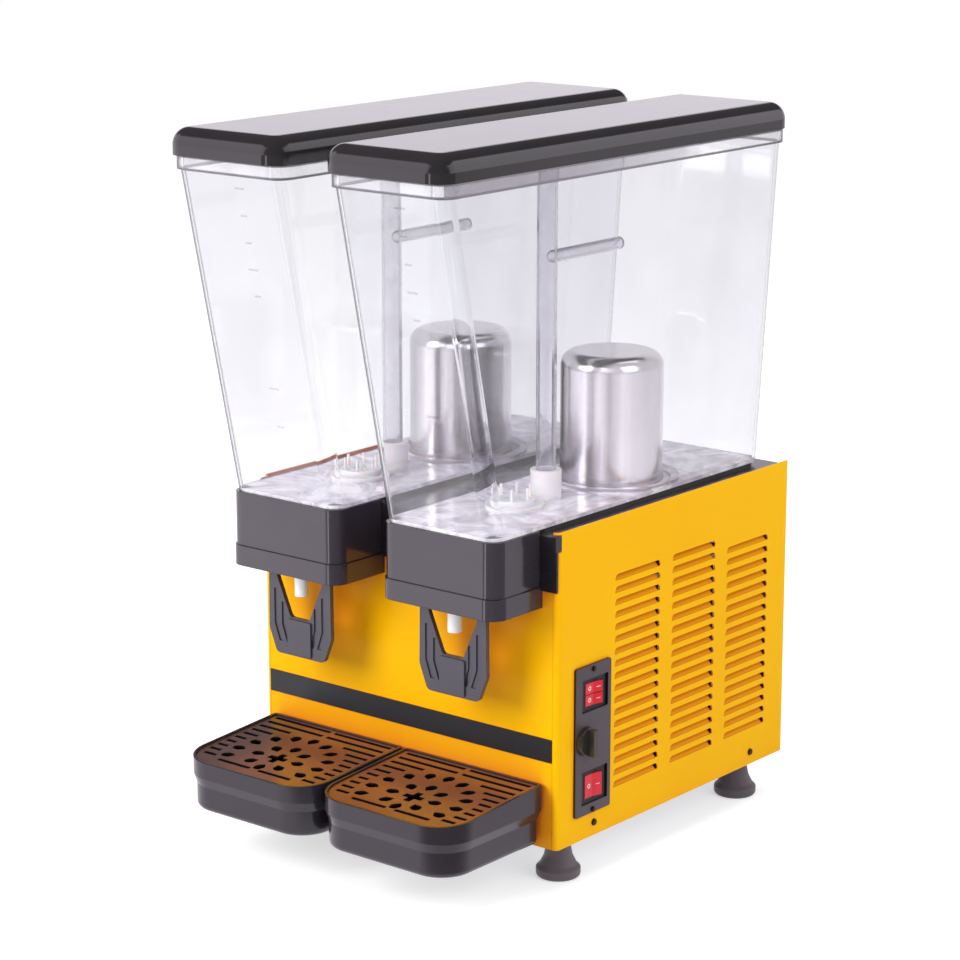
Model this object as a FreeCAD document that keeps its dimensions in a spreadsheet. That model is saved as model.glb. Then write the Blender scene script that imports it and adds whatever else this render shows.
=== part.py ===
import FreeCAD, Part

# Twin-tank cold drink dispenser for lemonade, in millimetres.
# X runs to the control side, Y to the rear and Z up. Places are worked out from the middle of the
# cabinet's width, its front face and the floor, and each sub-part's Placement then moves it into the
# part's own frame, whose origin is the middle of the bottom.

import math
import operator
import os
from collections import namedtuple

import Sketcher
from FreeCAD import Placement, Rotation, Vector

SIZES = {
    # cabinet
    "cabinet_width": 360,
    "cabinet_depth": 368,
    "cabinet_top": 341,
    "foot_height": 41,
    "sheet": 1.2,
    "bend_radius": 5,
    "front_return": 12,
    "tray_sheet": 2,
    "tray_rise": 20,
    "band_low": 124.5,
    "band_height": 22,
    "band_thickness": 0.8,
    # louvres and air slots
    "louvre_width": 70,
    "louvre_height": 6,
    "louvre_pitch": 11.75,
    "louvre_low": 79,
    "louvre_front": 86,
    "louvre_step": 90,
    "louvre_reach": 5,
    "louvre_round": 4.2,
    "slot_width": 5,
    "slot_height": 130,
    "slot_pitch": 18,
    "gland_in": 40,
    "gland_up": 39,
    "gland_neck": 8,
    # feet and screws
    "foot_radius": 21,
    "foot_neck": 11.5,
    "foot_inset": 38.9,
    "foot_in_x": 27.9,
    "foot_screw": 2.5,
    "screw_head": 2,
    "screw_head_radius": 3.2,
    "plate_screw_head": 2.6,
    "screw_radius": 1.6,
    "screw_length": 8,
    "side_screw_up": 13,
    "side_screw_front": 55.8,
    "side_screw_rear": 55.5,
    # deck
    "deck_top": 337,
    "deck_plate": 3,
    "skirt_low": 286,
    "skirt_thickness": 2.5,
    "plinth_width": 124,
    "plinth_front": 4,
    "plinth_rear": 346,
    "tab_low": 323,
    "tab_height": 16,
    "tab_rear": 5,
    "tab_front": 4,
    # tanks, their openings and lids
    "tank_centre": 93.8,
    "tank_width": 130,
    "tank_front": 63.5,
    "tank_lean": 67.5,
    "tank_rear": 352,
    "tank_rear_lean": 29,
    "tank_height": 311,
    "tank_wall": 3,
    "tank_corner": 14,
    "rim_height": 12.7,
    "rim_proud": 3.5,
    "upstand": 5,
    "lid_height": 25,
    "lid_wall": 3,
    "lid_corner": 18,
    "lid_overhang": 3.75,
    "lid_front": 8.5,
    "lid_rear": 6.7,
    "lid_fillet": 16,
    "collar_height": 7,
    "collar_wall": 7.7,
    "spigot_radius": 5,
    "spigot_bore": 3,
    "spigot_length": 14,
    # evaporator
    "dome_y": 191,
    "dome_radius": 49,
    "dome_top": 468,
    "dome_wall": 1,
    "dome_fillet": 14,
    "seal_width": 8,
    "seal_height": 8,
    "coil_tube": 4,
    "coil_turns": 7,
    "coil_pitch": 14,
    # circulation pump
    "pump_y": 43,
    "pump_radius": 27,
    "pump_height": 3.5,
    "chamber_radius": 17,
    "channel_width": 10,
    "channel_height": 2.3,
    "cover_radius": 19.5,
    "cover_height": 5,
    "cover_wall": 1.5,
    "prong_height": 11,
    "prong_radius": 1.3,
    "socket_y": 90,
    "socket_radius": 14.5,
    "socket_top": 371,
    "riser_radius": 9.5,
    "riser_wall": 1.5,
    "riser_top": 652,
    "spray_z": 569,
    "spray_radius": 6,
    "spray_end": 200,
    "impeller_radius": 16,
    "pump_pin": 1.5,
    "motor_radius": 30,
    "motor_height": 54,
    "rotor_radius": 28,
    "rotor_height": 14,
    "motor_shaft": 3,
    "bracket_depth": 34,
    # tap housings
    "housing_width": 134,
    "housing_front": 66,
    "housing_low": 289,
    "housing_corner": 14,
    "housing_wall": 2.5,
    "rim_low": 269.5,
    "rim_step": 1.5,
    "rim_wall": 3,
    # taps
    "tap_y": -41,
    "outlet_radius": 6.5,
    "outlet_bore": 4.5,
    "outlet_low": 244,
    "pinch_z": 305,
    "pinch_thickness": 4,
    "pinch_width": 18,
    "pivot_y": -28,
    "pivot_z": 283,
    "pin_radius": 2,
    "lever_low": 183.5,
    "lever_thickness": 4.5,
    "lever_front": 44,
    "lever_half": 38.5,
    "lever_foot_half": 30,
    "lever_arm": 7.5,
    "opening_half": 29.5,
    "opening_foot_half": 12,
    "opening_low": 221,
    "lever_shoulder": 24,
    "lug_thickness": 4,
    "lever_band_half": 14.7,
    "lever_band_rise": 1.8,
    "groove_width": 5,
    "groove_depth": 1.3,
    "heel_y": -10,
    "spring_radius": 4,
    "spring_wire": 1,
    "spring_turns": 5,
    # drip trays
    "tray_centre": 84,
    "tray_half": 82,
    "tray_front": 139,
    "tray_back": 3,
    "tray_low": 45.3,
    "tray_top": 103.8,
    "tray_fall": 8.8,
    "tray_band": 16,
    "tray_step": 3,
    "tray_taper": 9,
    "tray_wall": 2.5,
    "tray_corner": 36,
    "grille_plate": 2.5,
    "grille_drop": 1.5,
    "grille_margin": 8,
    "slot_first": 13,
    "slot_step": 11.5,
    "slot_opening": 5.2,
    "ring_back": 88,
    "ring_clear": 62,
    "ring_inner": 16.5,
    "ring_outer": 41.5,
    "tear_length": 15,
    "tear_width": 12.5,
    "cross_arm": 11,
    "cross_web": 3.8,
    "tongue_reach": 95,
    "tongue_width": 22,
    "tongue_spread": 80,
    "tongue_rise": 40,
    "tongue_sheet": 2.4,
    # controls
    "plate_thickness": 2.5,
    "plate_front": 24.5,
    "plate_width": 53,
    "plate_low": 65.5,
    "plate_height": 143,
    "recess_depth": 2,
    "switch_y": 53,
    "rocker_half": 11,
    "rocker_height": 10.3,
    "main_rocker_height": 22,
    "twin_z": 180,
    "main_z": 91.5,
    "window_front": 9.3,
    "window_rear": 48.4,
    "window_rim": 3.2,
    "switch_depth": 30,
    "switch_flange": 2.6,
    "rocker_pin": 1.5,
    "rocker_pivot": 8,
    "rocker_face": 8.5,
    "rocker_tilt": 8,
    "knob_y": 39,
    "knob_z": 137.5,
    "knob_radius": 14,
    "knob_height": 12,
    "knob_grip": 3.2,
    "knob_skirt": 4.5,
    "thermostat_shaft": 3,
    "thermostat_depth": 34,
    "thermostat_half": 17,
    # cooling
    "compressor_x": -80,
    "compressor_y": 250,
    "compressor_radius": 62,
    "compressor_top": 180,
    "compressor_plate": 3,
    "compressor_wing": 13,
    "mount_height": 8,
    "mount_radius": 8,
    "condenser_x": 120,
    "condenser_depth": 35,
    "condenser_front": 95,
    "condenser_width": 220,
    "condenser_height": 217,
    "fin_pitch": 7,
    "condenser_tube": 4,
    "condenser_tube_low": 28,
    "condenser_tube_step": 32,
    "fan_radius": 98,
    "fan_hub": 22,
    "fan_blade": 36,
    "fan_motor_radius": 24,
    "fan_motor_back": 26,
    "fan_motor_nose": 9,
    "fan_shroud_sheet": 2.5,
    "motor_bar_sheet": 3,
    "motor_bar_leg": 4,
    "motor_bar_past": 10,
    "fan_from_core": 14,
    "shroud_depth": 24,
    "motor_bar_back": 42,
    "drier_x": 40,
    "drier_y": 340,
    "drier_up": 39,
    "drier_length": 70,
    "drier_radius": 9,
    "pipe_radius": 3,
    "pipe_bend": 9,
    "pipe_apart": 40,
    "hot_pipe_rise": 92,
    "right_feed_rise": 118,
    "left_feed_rise": 134,
    "return_pipe_rise": 108,
    # running and standing clearances
    "gap": 0.3,
    "fit": 0.05,
}

SIDES = {"left": -1, "right": 1}
SIGNS = {"+": operator.add, "-": operator.sub, "*": operator.mul, "/": operator.truediv}
ALONG = {"X": Vector(1, 0, 0), "Y": Vector(0, 1, 0), "Z": Vector(0, 0, 1)}

Corner = namedtuple("Corner", "x y radius", defaults=(0,))
Round = namedtuple("Round", "x y radius")


class Size:
    """A length in mm together with the sheet formula that gives it."""

    def __init__(self, value, text):
        self.value = float(value)
        self.text = text

    def joined(self, other, sign, swapped=False):
        pair = [as_size(other), self] if swapped else [self, as_size(other)]
        value = SIGNS[sign](pair[0].value, pair[1].value)
        return Size(value, f"({pair[0].text} {sign} {pair[1].text})")

    def __add__(self, other):
        return self.joined(other, "+")

    def __radd__(self, other):
        return self.joined(other, "+", True)

    def __sub__(self, other):
        return self.joined(other, "-")

    def __rsub__(self, other):
        return self.joined(other, "-", True)

    def __mul__(self, other):
        return self.joined(other, "*")

    def __rmul__(self, other):
        return self.joined(other, "*", True)

    def __truediv__(self, other):
        return self.joined(other, "/")

    def __neg__(self):
        return self.joined(-1, "*")

    def __float__(self):
        return self.value


def root(amount):
    return Size(math.sqrt(amount.value), f"sqrt{amount.text}")


def as_size(amount):
    """Plain numbers become sizes too, so that formulas can mix both."""
    if isinstance(amount, Size):
        return amount
    return Size(amount, f"({float(amount)!r})")


class SheetSizes:
    """Writes the driving dimensions to a spreadsheet and hands them out by alias."""

    def __init__(self, document):
        self.cells = document.addObject("Spreadsheet::Sheet", "sizes")
        for row, (alias, value) in enumerate(SIZES.items(), start=1):
            self.cells.set(f"A{row}", alias)
            self.cells.set(f"B{row}", str(value))
            self.cells.setAlias(f"B{row}", alias)
        document.recompute()

    def __getattr__(self, alias):
        return Size(getattr(self.cells, alias), f"sizes.{alias}")


doc = FreeCAD.newDocument("lemonade_dispenser")
size = SheetSizes(doc)
places = {}
pieces = []


def bind(item, name, amount):
    """Tie one property to its formula."""
    item.setExpression(name, as_size(amount).text)


def place(item, base, axis="Z"):
    """Put an object at a base point with its own Z along the named axis."""
    item.Placement = Placement(Vector(), Rotation(ALONG["Z"], ALONG[axis]))
    places[item.Name] = base
    for letter, amount in zip("xyz", base):
        bind(item, f"Placement.Base.{letter}", amount)
    return item


def box(name, low, high):
    item = doc.addObject("Part::Box", name)
    for side, start, end in zip(("Length", "Width", "Height"), low, high):
        bind(item, side, end - start)
    return place(item, low)


def rod(name, base, axis, length, radius):
    item = doc.addObject("Part::Cylinder", name)
    bind(item, "Height", length)
    bind(item, "Radius", radius)
    return place(item, base, axis)


def cut(name, base, tools):
    item = doc.addObject("Part::Cut", name)
    item.Base = base
    item.Tool = tools[0] if len(tools) == 1 else fuse(name + "_tools", tools)
    return item


def fuse(name, items):
    item = doc.addObject("Part::MultiFuse", name)
    item.Shapes = items
    return item


def group(name, items):
    item = doc.addObject("Part::Compound", name)
    item.Links = items
    return item


def shaped(name, shape):
    item = doc.addObject("Part::Feature", name)
    item.Shape = shape
    return item


def piece(label, item):
    """Name a finished sub-part and move it into the part's own frame."""
    base = places.get(item.Name, (0, 0, 0))
    for letter, amount, shift in zip("xyz", base, FRAME):
        bind(item, f"Placement.Base.{letter}", amount + shift)
    item.Label = label
    pieces.append((label, item))


def new_body(name):
    body = doc.addObject("PartDesign::Body", name + "_body")
    doc.recompute()
    return body


def new_sketch(body, name, plane, height, origin=(0, 0)):
    """A sketch on one of the body's own origin planes, moved along the plane's normal and in it."""
    support = [f for f in body.Origin.OriginFeatures if f.Role == plane + "_Plane"][0]
    sketch = body.newObject("Sketcher::SketchObject", name)
    sketch.AttachmentSupport = [(support, "")]
    sketch.MapMode = "FlatFace"
    for letter, amount in zip("xyz", (*origin, height)):
        bind(sketch, f"AttachmentOffset.Base.{letter}", amount)
    return sketch


def pin_point(sketch, index, spot, x, y):
    """Tie a vertex to its distances from the origin."""
    for kind, amount in (("DistanceX", x), ("DistanceY", y)):
        amount = as_size(amount)
        number = sketch.addConstraint(Sketcher.Constraint(kind, -1, 1, index, spot, amount.value))
        sketch.setExpression(f"Constraints[{number}]", amount.text)


def rounding(before, corner, after):
    """Where the arc at a rounded corner starts, ends and has its centre."""
    here = Vector(corner.x, corner.y, 0)
    back = (Vector(before.x, before.y, 0) - here).normalize()
    onward = (Vector(after.x, after.y, 0) - here).normalize()
    half = back.getAngle(onward) / 2
    reach = float(corner.radius) / math.tan(half)
    middle = (back + onward).normalize()
    centre = here + middle * (float(corner.radius) / math.sin(half))
    return here + back * reach, here + onward * reach, centre


def corner_arc(start, end, centre):
    """The short arc between two points, and whether it runs from start to end anticlockwise."""
    forward = (start - centre).cross(end - centre).z > 0
    first, last = (start, end) if forward else (end, start)
    circle = Part.Circle(centre, Vector(0, 0, 1), (start - centre).Length)
    angles = [math.atan2(p.y - centre.y, p.x - centre.x) for p in (first, last)]
    return Part.ArcOfCircle(circle, angles[0], angles[1]), forward


def draw_corners(sketch, corners):
    """A closed outline: each corner is tied to the origin, and rounded ones get a tangent arc."""
    count = len(corners)
    ends = []
    for i, corner in enumerate(corners):
        here = Vector(corner.x, corner.y, 0)
        if float(corner.radius) > 0:
            ends.append(rounding(corners[i - 1], corner, corners[(i + 1) % count]))
        else:
            ends.append((here, here, None))
    lines = []
    for i in range(count):
        start, end = ends[i][1], ends[(i + 1) % count][0]
        lines.append(sketch.addGeometry(Part.LineSegment(start, end), False))
    for i, corner in enumerate(corners):
        into, out = lines[i - 1], lines[i]
        if ends[i][2] is None:
            sketch.addConstraint(Sketcher.Constraint("Coincident", into, 2, out, 1))
            pin_point(sketch, out, 1, corner.x, corner.y)
            continue
        mark = sketch.addGeometry(Part.Point(Vector(corner.x, corner.y, 0)), True)
        arc, forward = corner_arc(*ends[i])
        bend = sketch.addGeometry(arc, False)
        sketch.addConstraint(Sketcher.Constraint("PointOnObject", mark, 1, into))
        sketch.addConstraint(Sketcher.Constraint("PointOnObject", mark, 1, out))
        first, last = (1, 2) if forward else (2, 1)
        sketch.addConstraint(Sketcher.Constraint("Tangent", into, 2, bend, first))
        sketch.addConstraint(Sketcher.Constraint("Tangent", bend, last, out, 1))
        pin_point(sketch, mark, 1, corner.x, corner.y)
        radius = as_size(corner.radius)
        number = sketch.addConstraint(Sketcher.Constraint("Radius", bend, radius.value))
        sketch.setExpression(f"Constraints[{number}]", radius.text)


def draw_round(sketch, shape):
    centre = Vector(shape.x, shape.y, 0)
    circle = Part.Circle(centre, Vector(0, 0, 1), float(shape.radius))
    index = sketch.addGeometry(circle, False)
    pin_point(sketch, index, 3, shape.x, shape.y)
    radius = as_size(shape.radius)
    number = sketch.addConstraint(Sketcher.Constraint("Radius", index, radius.value))
    sketch.setExpression(f"Constraints[{number}]", radius.text)


def draw(sketch, shapes):
    for shape in shapes:
        if isinstance(shape, Round):
            draw_round(sketch, shape)
        else:
            draw_corners(sketch, [Corner(*corner) for corner in shape])


def slab(body, name, plane, low, high, shapes, hollow=False, origin=(0, 0)):
    """Add, or with hollow take away, a flat slab between two places along the plane's normal."""
    if plane == "XZ":
        start = -low if hollow else -high
    else:
        start = high if hollow else low
    sketch = new_sketch(body, name + "_sketch", plane, start, origin)
    draw(sketch, shapes)
    kind = "PartDesign::Pocket" if hollow else "PartDesign::Pad"
    feature = body.newObject(kind, name)
    feature.Profile = sketch
    bind(feature, "Length", high - low)
    body.Tip = feature
    return feature


def repeated(body, name, feature, sketch_axis, step, count):
    """Copy a slab in even steps along an axis of its own sketch."""
    pattern = body.newObject("PartDesign::LinearPattern", name)
    pattern.Originals = [feature]
    pattern.Direction = (feature.Profile[0], [sketch_axis])
    pattern.Occurrences = count
    bind(pattern, "Length", step * (count - 1))
    body.Tip = pattern
    return pattern


def ringed(body, name, feature, angle, count):
    """Copy a slab round the origin of its own sketch."""
    pattern = body.newObject("PartDesign::PolarPattern", name)
    pattern.Originals = [feature]
    pattern.Axis = (feature.Profile[0], ["N_Axis"])
    pattern.Angle = angle
    pattern.Occurrences = count
    body.Tip = pattern
    return pattern


def lofted(body, name, sections, hollow=False):
    """Join outlines drawn at several heights."""
    sketches = []
    for number, (height, shape) in enumerate(sections, start=1):
        sketch = new_sketch(body, f"{name}_section_{number}", "XY", height)
        draw(sketch, [shape])
        sketches.append(sketch)
    kind = "PartDesign::SubtractiveLoft" if hollow else "PartDesign::AdditiveLoft"
    feature = body.newObject(kind, name)
    feature.Profile = sketches[0]
    feature.Sections = sketches[1:]
    feature.Ruled = True
    body.Tip = feature
    return feature


def turned(name, base, corners, axis="Z"):
    """A piece turned about the named axis: each corner is a radius and a height."""
    body = new_body(name)
    sketch = new_sketch(body, name + "_sketch", "XZ", 0)
    draw(sketch, [corners])
    feature = body.newObject("PartDesign::Revolution", name + "_turned")
    feature.Profile = sketch
    feature.ReferenceAxis = (sketch, ["V_Axis"])
    feature.Angle = 360
    body.Tip = feature
    return place(body, base, axis)


def softened(body, name, radius, chosen):
    """Round the edges of the body's last feature that the test picks."""
    doc.recompute()
    base = body.Tip
    names = [f"Edge{n}" for n, edge in enumerate(base.Shape.Edges, start=1) if chosen(edge)]
    fillet = body.newObject("PartDesign::Fillet", name)
    fillet.Base = (base, names)
    bind(fillet, "Radius", radius)
    body.Tip = fillet
    return fillet


def at_height(edge, height):
    """Whether an edge lies flat at a height."""
    box_of_edge = edge.BoundBox
    near = 0.01
    return abs(box_of_edge.ZMin - float(height)) < near and abs(box_of_edge.ZMax - float(height)) < near


def rectangle(left, right, front, rear, front_radius=0, rear_radius=None):
    """Corners of an upright rectangle in plan, its front and rear corners rounded alike."""
    rear_radius = front_radius if rear_radius is None else rear_radius
    return [
        (left, front, front_radius),
        (right, front, front_radius),
        (right, rear, rear_radius),
        (left, rear, rear_radius),
    ]


def round_tube(points, radius, bend):
    """A tube along straight runs joined by tangent arcs."""
    path = [Vector(*point) for point in points]
    edges = []
    start = path[0]
    for before, here, after in zip(path, path[1:], path[2:]):
        back = (before - here).normalize()
        onward = (after - here).normalize()
        half = back.getAngle(onward) / 2
        reach = bend / math.tan(half)
        middle = (back + onward).normalize()
        inward = bend / math.sin(half) - bend
        edges.append(Part.LineSegment(start, here + back * reach).toShape())
        arc = Part.Arc(here + back * reach, here + middle * inward, here + onward * reach)
        edges.append(arc.toShape())
        start = here + onward * reach
    edges.append(Part.LineSegment(start, path[-1]).toShape())
    profile = Part.Wire([Part.makeCircle(float(radius), path[0], path[1] - path[0])])
    return Part.Wire(edges).makePipeShell([profile], True, False)


def coil(centre, radius, wire, low, high, turns):
    """One unbroken wound wire between two heights, as quarter turns. Its least gap is printed."""
    x, y = centre
    start, end = float(low) + float(wire), float(high) - float(wire)
    parts = 8
    count = turns * parts

    def spot(step):
        angle = 2 * math.pi * step / parts
        height = start + (end - start) * step / count
        return Vector(
            float(x) + float(radius) * math.cos(angle),
            float(y) + float(radius) * math.sin(angle),
            height,
        )

    edges = [Part.Arc(spot(n), spot(n + 1), spot(n + 2)).toShape() for n in range(0, count, 2)]
    tangent = Vector(0, float(radius), (end - start) / (2 * math.pi * turns))
    profile = Part.Wire([Part.makeCircle(float(wire), spot(0), tangent)])
    print("least gap in the coil", round((end - start) / turns - 2 * float(wire), 2))
    return Part.Wire(edges).makePipeShell([profile], True, False)


# Places that several pieces share.
HALF = size.cabinet_width / 2
INNER = HALF - size.sheet
REAR = size.cabinet_depth
PANEL_EDGE = HALF - size.bend_radius - 1
PANEL_LIP = PANEL_EDGE + size.gap
UNDER_DECK = size.deck_top - size.deck_plate
TANK_FLOOR = size.cabinet_top + size.tank_wall
TANK_TOP = size.cabinet_top + size.tank_height
LID_LOW = TANK_TOP + size.rim_height + size.gap
LID_TOP = LID_LOW + size.lid_height
PLATE_FACE = HALF + size.plate_thickness
KNOB_FACE = PLATE_FACE + size.gap + size.knob_height
COLLAR_BORE = size.dome_radius + size.seal_width + size.gap
HOUSING_TOP = size.cabinet_top - size.gap
SKIRT_FACE = -size.skirt_thickness
FRAME = (
    (HALF + size.screw_head - KNOB_FACE) / 2,
    (size.tank_front + size.tank_lean + size.lid_front
     - size.tank_rear - size.tank_rear_lean - size.lid_rear) / 2,
    as_size(0),
)
FEET = [
    (side * (HALF - size.foot_in_x), y)
    for side in SIDES.values()
    for y in (size.foot_inset, REAR - size.foot_inset)
]
SIDE_SCREWS = [size.side_screw_front, REAR - size.side_screw_rear]
SIDE_SCREW_Z = size.foot_height + size.side_screw_up
GLAND_X = -INNER + size.gland_in
GLAND_Z = size.foot_height + size.gland_up
SLEEVE_BORE = size.outlet_radius + 0.8
ANVIL_LOW = size.pinch_z - 2
LUG_FROM = size.lever_half + 0.8
LUG_TO = LUG_FROM + size.lug_thickness
LEVER_FACE = -size.lever_front
BAR_BACK = size.tap_y - size.pinch_thickness / 2 - size.gap
HEEL_TOP = size.pivot_z + 2
SWITCH_FACE = PLATE_FACE - size.recess_depth
ROCKER_PIVOT = SWITCH_FACE - size.rocker_pivot
TRAY_FLOOR = size.foot_height + size.tray_sheet
FAN_X = size.condenser_x - size.fan_from_core
FAN_Y = size.condenser_front + size.condenser_width / 2
FAN_Z = TRAY_FLOOR + size.condenser_height / 2
PLATE_SCREW_Y = size.plate_front + size.plate_width / 2
PLATE_SCREWS = [size.plate_low + 3, size.plate_low + size.plate_height - 4.5]


def tank_x(side):
    return side * size.tank_centre


def make_base_tray():
    body = new_body("base_tray")
    low, high = size.foot_height, size.foot_height + size.tray_rise
    inside = INNER - size.tray_sheet
    outline = rectangle(-INNER, INNER, size.sheet, REAR - size.sheet, size.bend_radius)
    slab(body, "pan", "XY", low, high, [outline])
    front = size.sheet + size.tray_sheet
    hollow = rectangle(-inside, inside, front, REAR - front)
    slab(body, "pan_inside", "XY", low + size.tray_sheet, high, [hollow], hollow=True)
    holes = [Round(x, y, size.foot_screw + size.gap) for x, y in FEET]
    slab(body, "foot_holes", "XY", low, low + size.tray_sheet, holes, hollow=True)
    screws = [Round(y, SIDE_SCREW_Z, size.screw_radius + size.gap) for y in SIDE_SCREWS]
    slab(body, "side_holes", "YZ", -HALF, HALF, screws, hollow=True)
    piece("base_tray", body)


def make_front_panel():
    body = new_body("front_panel")
    edge, back = PANEL_EDGE, size.front_return
    inside = edge - size.sheet
    outline = [
        (-edge, 0), (edge, 0), (edge, back), (inside, back),
        (inside, size.sheet), (-inside, size.sheet), (-inside, back), (-edge, back),
    ]
    slab(body, "front_sheet", "XY", size.foot_height, UNDER_DECK, [outline])
    # The base tray stands inside the returns, so their feet are cut away over its flanges.
    for name, side in SIDES.items():
        low, high = sorted((side * edge, side * inside), key=float)
        notch = rectangle(low, high, size.sheet, back)
        slab(body, name + "_foot_notch", "XY", size.foot_height,
             size.foot_height + size.tray_rise, [notch], hollow=True)
    piece("front_panel", body)
    band = box("band_strip", (-PANEL_EDGE, -size.band_thickness, size.band_low),
               (PANEL_EDGE, as_size(0), size.band_low + size.band_height))
    piece("front_band", band)


def louvre_outline(front, low):
    top = low + size.louvre_height
    rear = front + size.louvre_width
    return [(front, low), (rear, low), (rear, top, size.louvre_round), (front, top, size.louvre_round)]


def louvre_columns():
    """Front edge, lowest row and number of rows of each column."""
    return [(size.louvre_front + size.louvre_step * n, 18 - n // 2) for n in range(3)]


def make_side_panel(name, side):
    body = new_body(name + "_side_panel")
    bend, sheet = size.bend_radius, size.sheet
    plan = [
        (side * HALF, REAR), (side * HALF, 0, bend), (side * PANEL_LIP, 0),
        (side * PANEL_LIP, sheet), (side * INNER, sheet, bend - sheet),
        (side * INNER, REAR),
    ]
    slab(body, "sheet_metal", "XY", size.foot_height, size.cabinet_top, [plan])
    low, high = sorted((side * HALF, side * INNER), key=float)
    notch = rectangle(-1, size.tab_rear, size.tab_low, size.tab_low + size.tab_height)
    reach = sorted((side * (HALF + 1), side * (PANEL_EDGE - 1)), key=float)
    slab(body, "tab_notch", "YZ", reach[0], reach[1], [notch], hollow=True)
    for number, (front, rows) in enumerate(louvre_columns(), start=1):
        hole = slab(body, f"louvre_{number}", "YZ", low, high,
                    [louvre_outline(front, size.louvre_low)], hollow=True)
        repeated(body, f"louvres_{number}", hole, "V_Axis", size.louvre_pitch, rows)
        inner = side * INNER
        tip = side * (INNER - size.louvre_reach)
        base = size.louvre_low
        flap = [(side * HALF, base - sheet), (side * HALF, base), (inner, base),
                (tip, base + size.louvre_reach), (tip, base + size.louvre_reach - sheet),
                (inner, base - sheet)]
        margin = size.louvre_height / 3
        leaf = slab(body, f"flap_{number}", "XZ", front + margin,
                    front + size.louvre_width - margin, [flap])
        repeated(body, f"flaps_{number}", leaf, "V_Axis", size.louvre_pitch, rows)
    holes = [Round(y, SIDE_SCREW_Z, size.screw_radius + size.gap) for y in SIDE_SCREWS]
    if side > 0:
        holes += [Round(PLATE_SCREW_Y, z, size.screw_radius + size.gap) for z in PLATE_SCREWS]
        holes += [Round(size.knob_y, size.knob_z, size.thermostat_shaft + 1)]
        holes += [rectangle(*switch_box(z, height, size.gap)) for z, height in switches()]
    slab(body, "side_holes", "YZ", low, high, holes, hollow=True)
    piece(name + "_side_panel", body)


def make_rear_panel():
    body = new_body("rear_panel")
    sheet = rectangle(-INNER, INNER, size.foot_height, UNDER_DECK)
    slab(body, "rear_sheet", "XZ", REAR - size.sheet, REAR, [sheet])
    low = size.cabinet_top / 3
    slot = rectangle(-INNER * 0.6, -INNER * 0.6 + size.slot_width, low, low + size.slot_height,
                     size.slot_width * 0.45)
    hole = slab(body, "air_slot", "XZ", REAR - size.sheet, REAR, [slot], hollow=True)
    repeated(body, "air_slots", hole, "H_Axis", size.slot_pitch, 12)
    gland = Round(GLAND_X, GLAND_Z, size.gland_neck + size.gap)
    slab(body, "gland_hole", "XZ", REAR - size.sheet, REAR, [gland], hollow=True)
    piece("rear_panel", body)


def make_cord_gland():
    bore, flange, nut, nose = 4, 11, 6.8, 12
    corners = [
        (bore, -nut), (flange, -nut), (flange, 0), (size.gland_neck, 0), (size.gland_neck, size.sheet),
        (flange, size.sheet), (flange, size.sheet + nut), (size.gland_neck, size.sheet + nose),
        (bore, size.sheet + nose),
    ]
    piece("cord_gland", turned("gland", (GLAND_X, REAR - size.sheet, GLAND_Z), corners, "Y"))


def make_top_deck():
    body = new_body("top_deck")
    top = size.deck_top
    plate = rectangle(-INNER, INNER, 0, REAR)
    slab(body, "deck_plate", "XY", UNDER_DECK, top, [plate])
    skirt = rectangle(-HALF, HALF, size.skirt_low, top)
    slab(body, "skirt", "XZ", SKIRT_FACE, 0, [skirt])
    for name, side in SIDES.items():
        x = tank_x(side)
        half = size.plinth_width / 2
        plinth = rectangle(x - half, x + half, size.plinth_front, size.plinth_rear, 8)
        slab(body, name + "_plinth", "XY", top, size.cabinet_top - size.gap, [plinth])
        well = Round(x, size.dome_y, COLLAR_BORE)
        slab(body, name + "_well", "XY", top, size.cabinet_top, [well], hollow=True)
        opening = Round(x, size.dome_y, size.dome_radius - 2.5)
        slab(body, name + "_opening", "XY", UNDER_DECK, top, [opening], hollow=True)
        low, high = sorted((side * (HALF - 4), side * HALF), key=float)
        tab = [(-size.tab_front, size.tab_low + 1), (size.tab_rear, size.tab_low, 3),
               (size.tab_rear, size.tab_low + size.tab_height, 3),
               (-size.tab_front, size.tab_low + size.tab_height - 1)]
        slab(body, name + "_tab", "YZ", low, high, [tab])
    piece("top_deck", body)


def make_feet():
    feet, screws = [], []
    radius, neck, top = size.foot_radius, size.foot_neck, size.foot_height
    bore = size.foot_screw + size.fit
    low = top * 0.6
    bell = [
        (0, 0), (radius, 0, 4), (radius, top * 0.22, 2), (radius * 0.84, top * 0.3, 2),
        (neck + 2, top * 0.5, 12), (neck, top * 0.75, 10), (neck, top), (bore, top),
        (bore, low), (0, low),
    ]
    floor = TRAY_FLOOR
    shank = [
        (0, low + 1), (size.foot_screw, low + 1), (size.foot_screw, floor), (5, floor),
        (5, floor + 3.5, 1), (0, floor + 3.5),
    ]
    for number, (x, y) in enumerate(FEET, start=1):
        feet.append(turned(f"foot_{number}", (x, y, 0), bell))
        screws.append(turned(f"foot_screw_{number}", (x, y, 0), shank))
    piece("feet", group("feet_group", feet))
    piece("foot_screws", group("foot_screw_group", screws))


def screw_profile(head_radius):
    head, length, radius = size.screw_head, size.screw_length, size.screw_radius
    return [(0, -length), (radius, -length), (radius, 0), (head_radius, 0), (head_radius, head, 1),
            (0, head)]


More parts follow.
